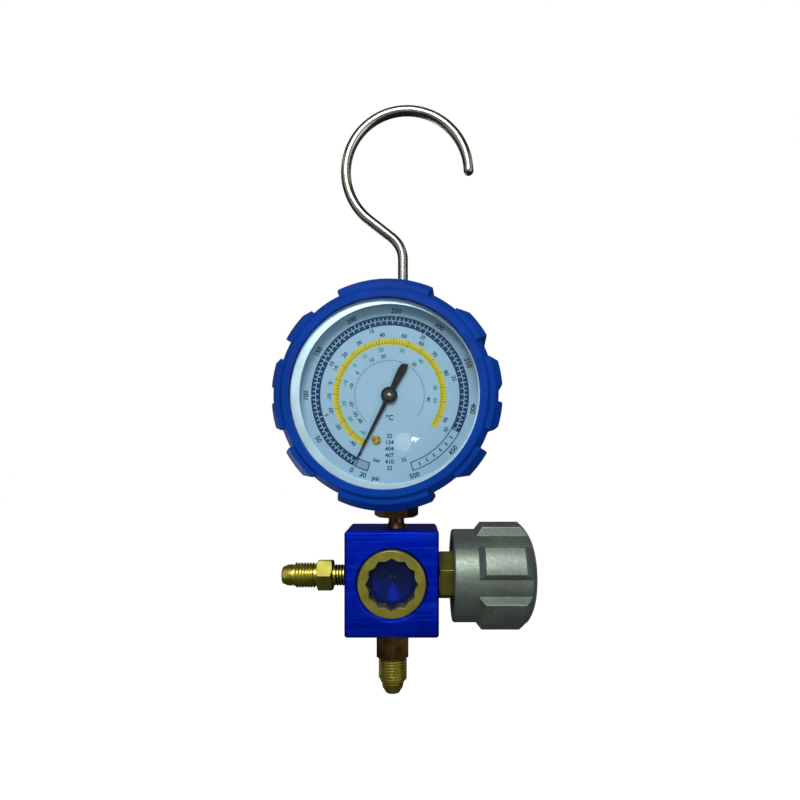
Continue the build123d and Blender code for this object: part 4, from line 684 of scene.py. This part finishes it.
def hexagon(sheet, across_flats, start, stop, spin):
    """A hexagonal prism about Z."""
    corner = across_flats / sqrt(3) * MM
    middle = Matrix.Translation((0, 0, (start + stop) / 2 * MM))
    bmesh.ops.create_cone(
        sheet, segments=6, cap_ends=True, radius1=corner, radius2=corner,
        depth=(stop - start) * MM, matrix=middle @ Matrix.Rotation(radians(spin), 4, "Z"),
    )


def shell(name, sheet, place, material):
    """A closed piece from a bmesh, put in place and smoothed by angle."""
    bmesh.ops.remove_doubles(sheet, verts=sheet.verts, dist=WELD)
    bmesh.ops.recalc_face_normals(sheet, faces=sheet.faces)
    sheet.transform(place)
    piece = stand(name, sheet, material)
    piece.data.shade_smooth()
    piece.data.set_sharp_from_angle(angle=SMOOTH_BELOW)
    return piece


def flare_fitting(name, place, sizes, material, hex_material, dark):
    """Hex adapter with a thread ridge on its flare end, and on its shank where one shows."""
    shank, hex_length, thread, nose = sizes["lengths"]
    shank_radius, thread_radius, nose_radius, tip_radius, bore = sizes["radii"]
    pitch, depth = sizes["pitch"], sizes["depth"]
    hex_end = shank + hex_length
    thread_end = hex_end + thread
    tip = thread_end + nose
    hidden = -10.0  # the shank's end, inside the block
    shank_root, thread_root = shank_radius - 0.35, thread_radius - depth
    core, groove = sizes["flats"] / 2 - 0.35, nose_radius - 0.55
    rounding = tip_radius - bore - 0.4
    sheet = bmesh.new()
    turned(sheet, (
        (hidden, bore), (hidden, shank_radius), (0.0, shank_radius), (0.3, shank_root),
        (shank - 0.3, shank_root), (shank, shank_radius), (shank, core),
        (hex_end, core), (hex_end, thread_root), (thread_end - 0.2, thread_root),
        (thread_end, groove), (thread_end + 0.5, groove), (thread_end + 0.75, nose_radius),
        (tip - nose * 0.45, nose_radius - (nose_radius - tip_radius) * 0.25),
        (tip - rounding, tip_radius), (tip - rounding * 0.62, tip_radius - rounding * 0.09),
        (tip - rounding * 0.25, tip_radius - rounding * 0.36),
        (tip - rounding * 0.03, tip_radius - rounding * 0.8),
        (tip, tip_radius - rounding), (tip, bore + 0.25), (tip - 0.25, bore),
    ))
    body = shell(name, sheet, place, material)
    sheet = bmesh.new()
    helix(sheet, hex_end + 0.2, thread_end, thread_radius, pitch, depth, 0.9)
    ridge = shell(name + "_thread", sheet, place, material)
    pieces = [body, ridge]
    if shank > 3:  # mm, long enough to show its thread
        # The shank's thread takes the dark brass, which is darkened as painted shade
        sheet = bmesh.new()
        helix(sheet, -0.6, shank, shank_radius, pitch, 0.4, 0.5)
        pieces.append(shell(name + "_shank_thread", sheet, place, dark))
    sheet = bmesh.new()
    hexagon(sheet, sizes["flats"], shank, hex_end, sizes["spin"])
    nut = shell(name + "_hex", sheet, place, hex_material)
    sheet = bmesh.new()
    corner = sizes["flats"] / sqrt(3)
    flat = sizes["flats"] / 2 * 0.98
    drop = (corner - flat) * CHAMFER_SLOPE
    turned(sheet, (
        (shank, 0.01), (shank, flat), (shank + drop, corner + 0.01),
        (hex_end - drop, corner + 0.01), (hex_end, flat), (hex_end, 0.01),
    ), 96)
    # The hex keeps what lies inside a chamfered barrel
    barrel = shell(name + "_barrel", sheet, place, hex_material)
    trim = nut.modifiers.new("trim", "BOOLEAN")
    trim.operation = "INTERSECT"
    trim.object = barrel
    trim.solver = "EXACT"
    bpy.context.view_layer.update()
    trimmed = nut.evaluated_get(bpy.context.evaluated_depsgraph_get())
    cut = bpy.data.meshes.new_from_object(trimmed)
    nut.modifiers.clear()
    nut.data = cut
    cut.shade_flat()
    bpy.data.objects.remove(barrel)
    pieces.append(nut)
    for piece in pieces:
        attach(piece, "manifold")
        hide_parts(name.replace("_dressed", "_fitting"))


class GAUGE_OT_fittings(bpy.types.Operator):
    """Left and bottom flare fittings with their threads"""

    bl_idname = "gauge.fittings"
    bl_label = "Flare fittings"

    def execute(self, context):
        sizes = context.scene.gauge_sizes
        brass = nodes["valve_bonnet"].material_slots[0].material
        # Brass darkened as painted shade, for the hex of the bottom fitting and the left fitting's
        # shank thread by the block
        shaded_brass = machined("fitting_brass_painted_shade", (0.13, 0.075, 0.018), 0.30, (0.05, 0.025, 0.01))
        pitch, depth = sizes.thread_pitch / MM, sizes.thread_depth / MM
        low, high = (Vector(corner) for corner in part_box("left_flare_fitting"))
        middle = (low + high) / 2
        lengths = (6.5, 6.8, 10.8, 5.1)
        face = Vector((low.x + sum(lengths) * MM, middle.y, middle.z))
        axes = Matrix(((0, 0, -1), (0, 1, 0), (1, 0, 0))).to_4x4()
        flare_fitting("left_flare_dressed", Matrix.Translation(face) @ axes, {
            "lengths": lengths, "radii": (4.75, 5.555, 4.75, 4.0, 2.4),
            "flats": 13.0, "spin": 7.0, "pitch": pitch, "depth": depth}, brass, brass, shaded_brass)
        low, high = (Vector(corner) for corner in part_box("bottom_flare_fitting"))
        middle = (low + high) / 2
        lengths = (1.0, 11.3, 10.8, 5.3)
        face = Vector((middle.x, middle.y, low.z + sum(lengths) * MM))
        axes = Matrix(((1, 0, 0), (0, -1, 0), (0, 0, -1))).to_4x4()
        flare_fitting("bottom_flare_dressed", Matrix.Translation(face) @ axes, {
            "lengths": lengths, "radii": (5.2, 6.35, 4.95, 3.4, 2.4),
            "flats": 14.0, "spin": 0.0, "pitch": pitch, "depth": depth}, brass, shaded_brass, shaded_brass)
        return {"FINISHED"}


# ---------------------------------------------------------------- stage
def area_lamp(name, place, aim, size, power, colour):
    """A round soft box at a place, aimed at a point."""
    lamp = bpy.data.lights.new(name, "AREA")
    lamp.shape = "DISK"
    lamp.size = size
    lamp.energy = power
    lamp.color = colour
    holder = bpy.data.objects.new(name, lamp)
    holder.location = Vector(place)
    holder.visible_camera = False
    holder.rotation_euler = (Vector(aim) - Vector(place)).to_track_quat("-Z", "Y").to_euler()
    bpy.context.scene.collection.objects.link(holder)


def seen_white(tree, strength):
    """A strength for rays of the camera, gloss and glass, and none for the others."""
    path = tree.nodes.new("ShaderNodeLightPath")
    seen = path.outputs["Is Camera Ray"]
    for ray in ("Is Glossy Ray", "Is Transmission Ray"):
        both = tree.nodes.new("ShaderNodeMath")
        both.operation = "MAXIMUM"
        tree.links.new(seen, both.inputs[0])
        tree.links.new(path.outputs[ray], both.inputs[1])
        seen = both.outputs["Value"]
    scaled = tree.nodes.new("ShaderNodeMath")
    scaled.operation = "MULTIPLY"
    tree.links.new(seen, scaled.inputs[0])
    scaled.inputs[1].default_value = strength
    return scaled.outputs["Value"]


def flag(name, place, aim, size, shade_of_grey):
    """A dark card beside the set that only gloss sees."""
    sheet = bmesh.new()
    turn = (Vector(aim) - Vector(place)).to_track_quat("-Z", "Y").to_matrix().to_4x4()
    there = Matrix.Translation(place) @ turn
    bmesh.ops.create_grid(sheet, x_segments=1, y_segments=1, size=size / 2, matrix=there)
    card = Nodes(name)
    card.finish((shade_of_grey,) * 3 + (1,), 1.0, None, 0.0, Specular_IOR_Level=0.0)
    holder = stand(name, sheet, card.material)
    holder.visible_camera = False
    holder.visible_diffuse = False
    holder.visible_shadow = False
    holder.visible_transmission = False


class GAUGE_OT_stage(bpy.types.Operator):
    """Camera, floor, white surround, lamps and dark cards"""

    bl_idname = "gauge.stage"
    bl_label = "Stage"

    def execute(self, context):
        scene = context.scene
        camera = bpy.data.cameras.new("camera")
        camera.lens = 26.4
        camera.sensor_width = 36
        camera.shift_x = -0.015
        camera.shift_y = 0.07
        camera.clip_start = 0.01
        holder = bpy.data.objects.new("camera", camera)
        holder.location = (2.18 * MM, -269.9 * MM, -156.5 * MM)
        holder.rotation_euler = (radians(90), 0, 0)
        scene.collection.objects.link(holder)
        scene.camera = holder
        aim = (0, 0, -0.15)
        area_lamp("key", (-0.08, -0.62, 0.30), aim, 0.44, 5.8, (1, 0.99, 0.96))
        area_lamp(
            "window", (-0.074, -0.623, -0.136), (-0.0016, -0.023, -0.151), 0.026, 0.018, (1, 1, 1))
        area_lamp(
            "bulb", (-0.057, -0.623, -0.132), (0.0034, -0.023, -0.149), 0.007, 0.025, (1, 1, 1))
        area_lamp("fill", (0.45, -0.45, -0.10), aim, 0.4, 0.7, (0.94, 0.97, 1))
        area_lamp("rear", (-0.5, 0.6, -0.42), aim, 0.5, 2.6, (1, 1, 1))
        flag("left_card", (-0.6, 0.15, -0.15), aim, 1.0, 0.05)
        flag("right_card", (0.6, 0.15, -0.15), aim, 1.0, 0.05)
        flag("top_card", (0.0, 0.1, 0.60), (0.0, 0.1, 0.0), 1.6, 0.02)
        flag("low_card", (0.0, -0.1, -0.50), (0.0, -0.1, 0.0), 1.6, 0.03)
        flag("back_card", (0.0, 0.7, -0.10), aim, 0.9, 0.05)
        flag("front_card", (0.0, -1.3, -0.15), aim, 2.6, 0.38)

        floor = bmesh.new()
        drop = cad_box[0][2] - scene.gauge_sizes.floor_drop
        below = Matrix.Translation((0, 0, drop))
        bmesh.ops.create_circle(floor, cap_ends=True, segments=64, radius=6.0, matrix=below)
        pale = Nodes("pale_floor")
        speck = pale.blend(pale.noise(3.0), (0.86, 0.86, 0.86), (0.9, 0.9, 0.9))
        pale.finish(speck, 0.9, None, 0.0, Specular_IOR_Level=0.1)
        pale.shader.inputs["Emission Color"].default_value = (1, 1, 1, 1)
        pale.link(seen_white(pale.tree, 0.75), pale.shader.inputs["Emission Strength"])
        stand("floor", floor, pale.material)

        world = bpy.data.worlds.new("room")
        world.use_nodes = True
        tree = world.node_tree
        background = tree.nodes["Background"]
        background.inputs["Color"].default_value = (1, 1, 1, 1)
        lift = tree.nodes.new("ShaderNodeMapRange")
        tree.links.new(seen_white(tree, 1.0), lift.inputs["Value"])
        lift.inputs["To Min"].default_value = 0.27
        lift.inputs["To Max"].default_value = 1.0
        tree.links.new(lift.outputs["Result"], background.inputs["Strength"])
        scene.world = world
        scene.view_settings.view_transform = "Standard"
        return {"FINISHED"}


class GAUGE_PT_panel(bpy.types.Panel):
    """Lists the gauge's settings and steps"""

    bl_label = "Manifold Gauge"
    bl_idname = "GAUGE_PT_panel"
    bl_space_type = "VIEW_3D"
    bl_region_type = "UI"
    bl_category = "Manifold Gauge"

    def draw(self, context):
        for group in (context.scene.gauge_colours, context.scene.gauge_sizes):
            for name in group.bl_rna.properties.keys():
                if name not in ("rna_type", "name"):
                    self.layout.prop(group, name)
        for step in steps:
            self.layout.operator(step.bl_idname)


steps = (
    GAUGE_OT_stage, GAUGE_OT_block, GAUGE_OT_boot, GAUGE_OT_knob, GAUGE_OT_metals,
    GAUGE_OT_soft_parts, GAUGE_OT_dial, GAUGE_OT_fittings,
)
classes = (GaugeColours, GaugeSizes, *steps, GAUGE_PT_panel)


def register():
    for each in classes:
        bpy.utils.register_class(each)
    bpy.types.Scene.gauge_colours = bpy.props.PointerProperty(type=GaugeColours)
    bpy.types.Scene.gauge_sizes = bpy.props.PointerProperty(type=GaugeSizes)


def unregister():
    del bpy.types.Scene.gauge_sizes
    del bpy.types.Scene.gauge_colours
    for each in reversed(classes):
        bpy.utils.unregister_class(each)


def main():
    register()
    bpy.ops.gauge.stage()
    bpy.ops.gauge.block()
    bpy.ops.gauge.boot()
    bpy.ops.gauge.knob()
    bpy.ops.gauge.metals()
    bpy.ops.gauge.soft_parts()
    bpy.ops.gauge.dial()
    bpy.ops.gauge.fittings()


if __name__ == "__main__":
    main()
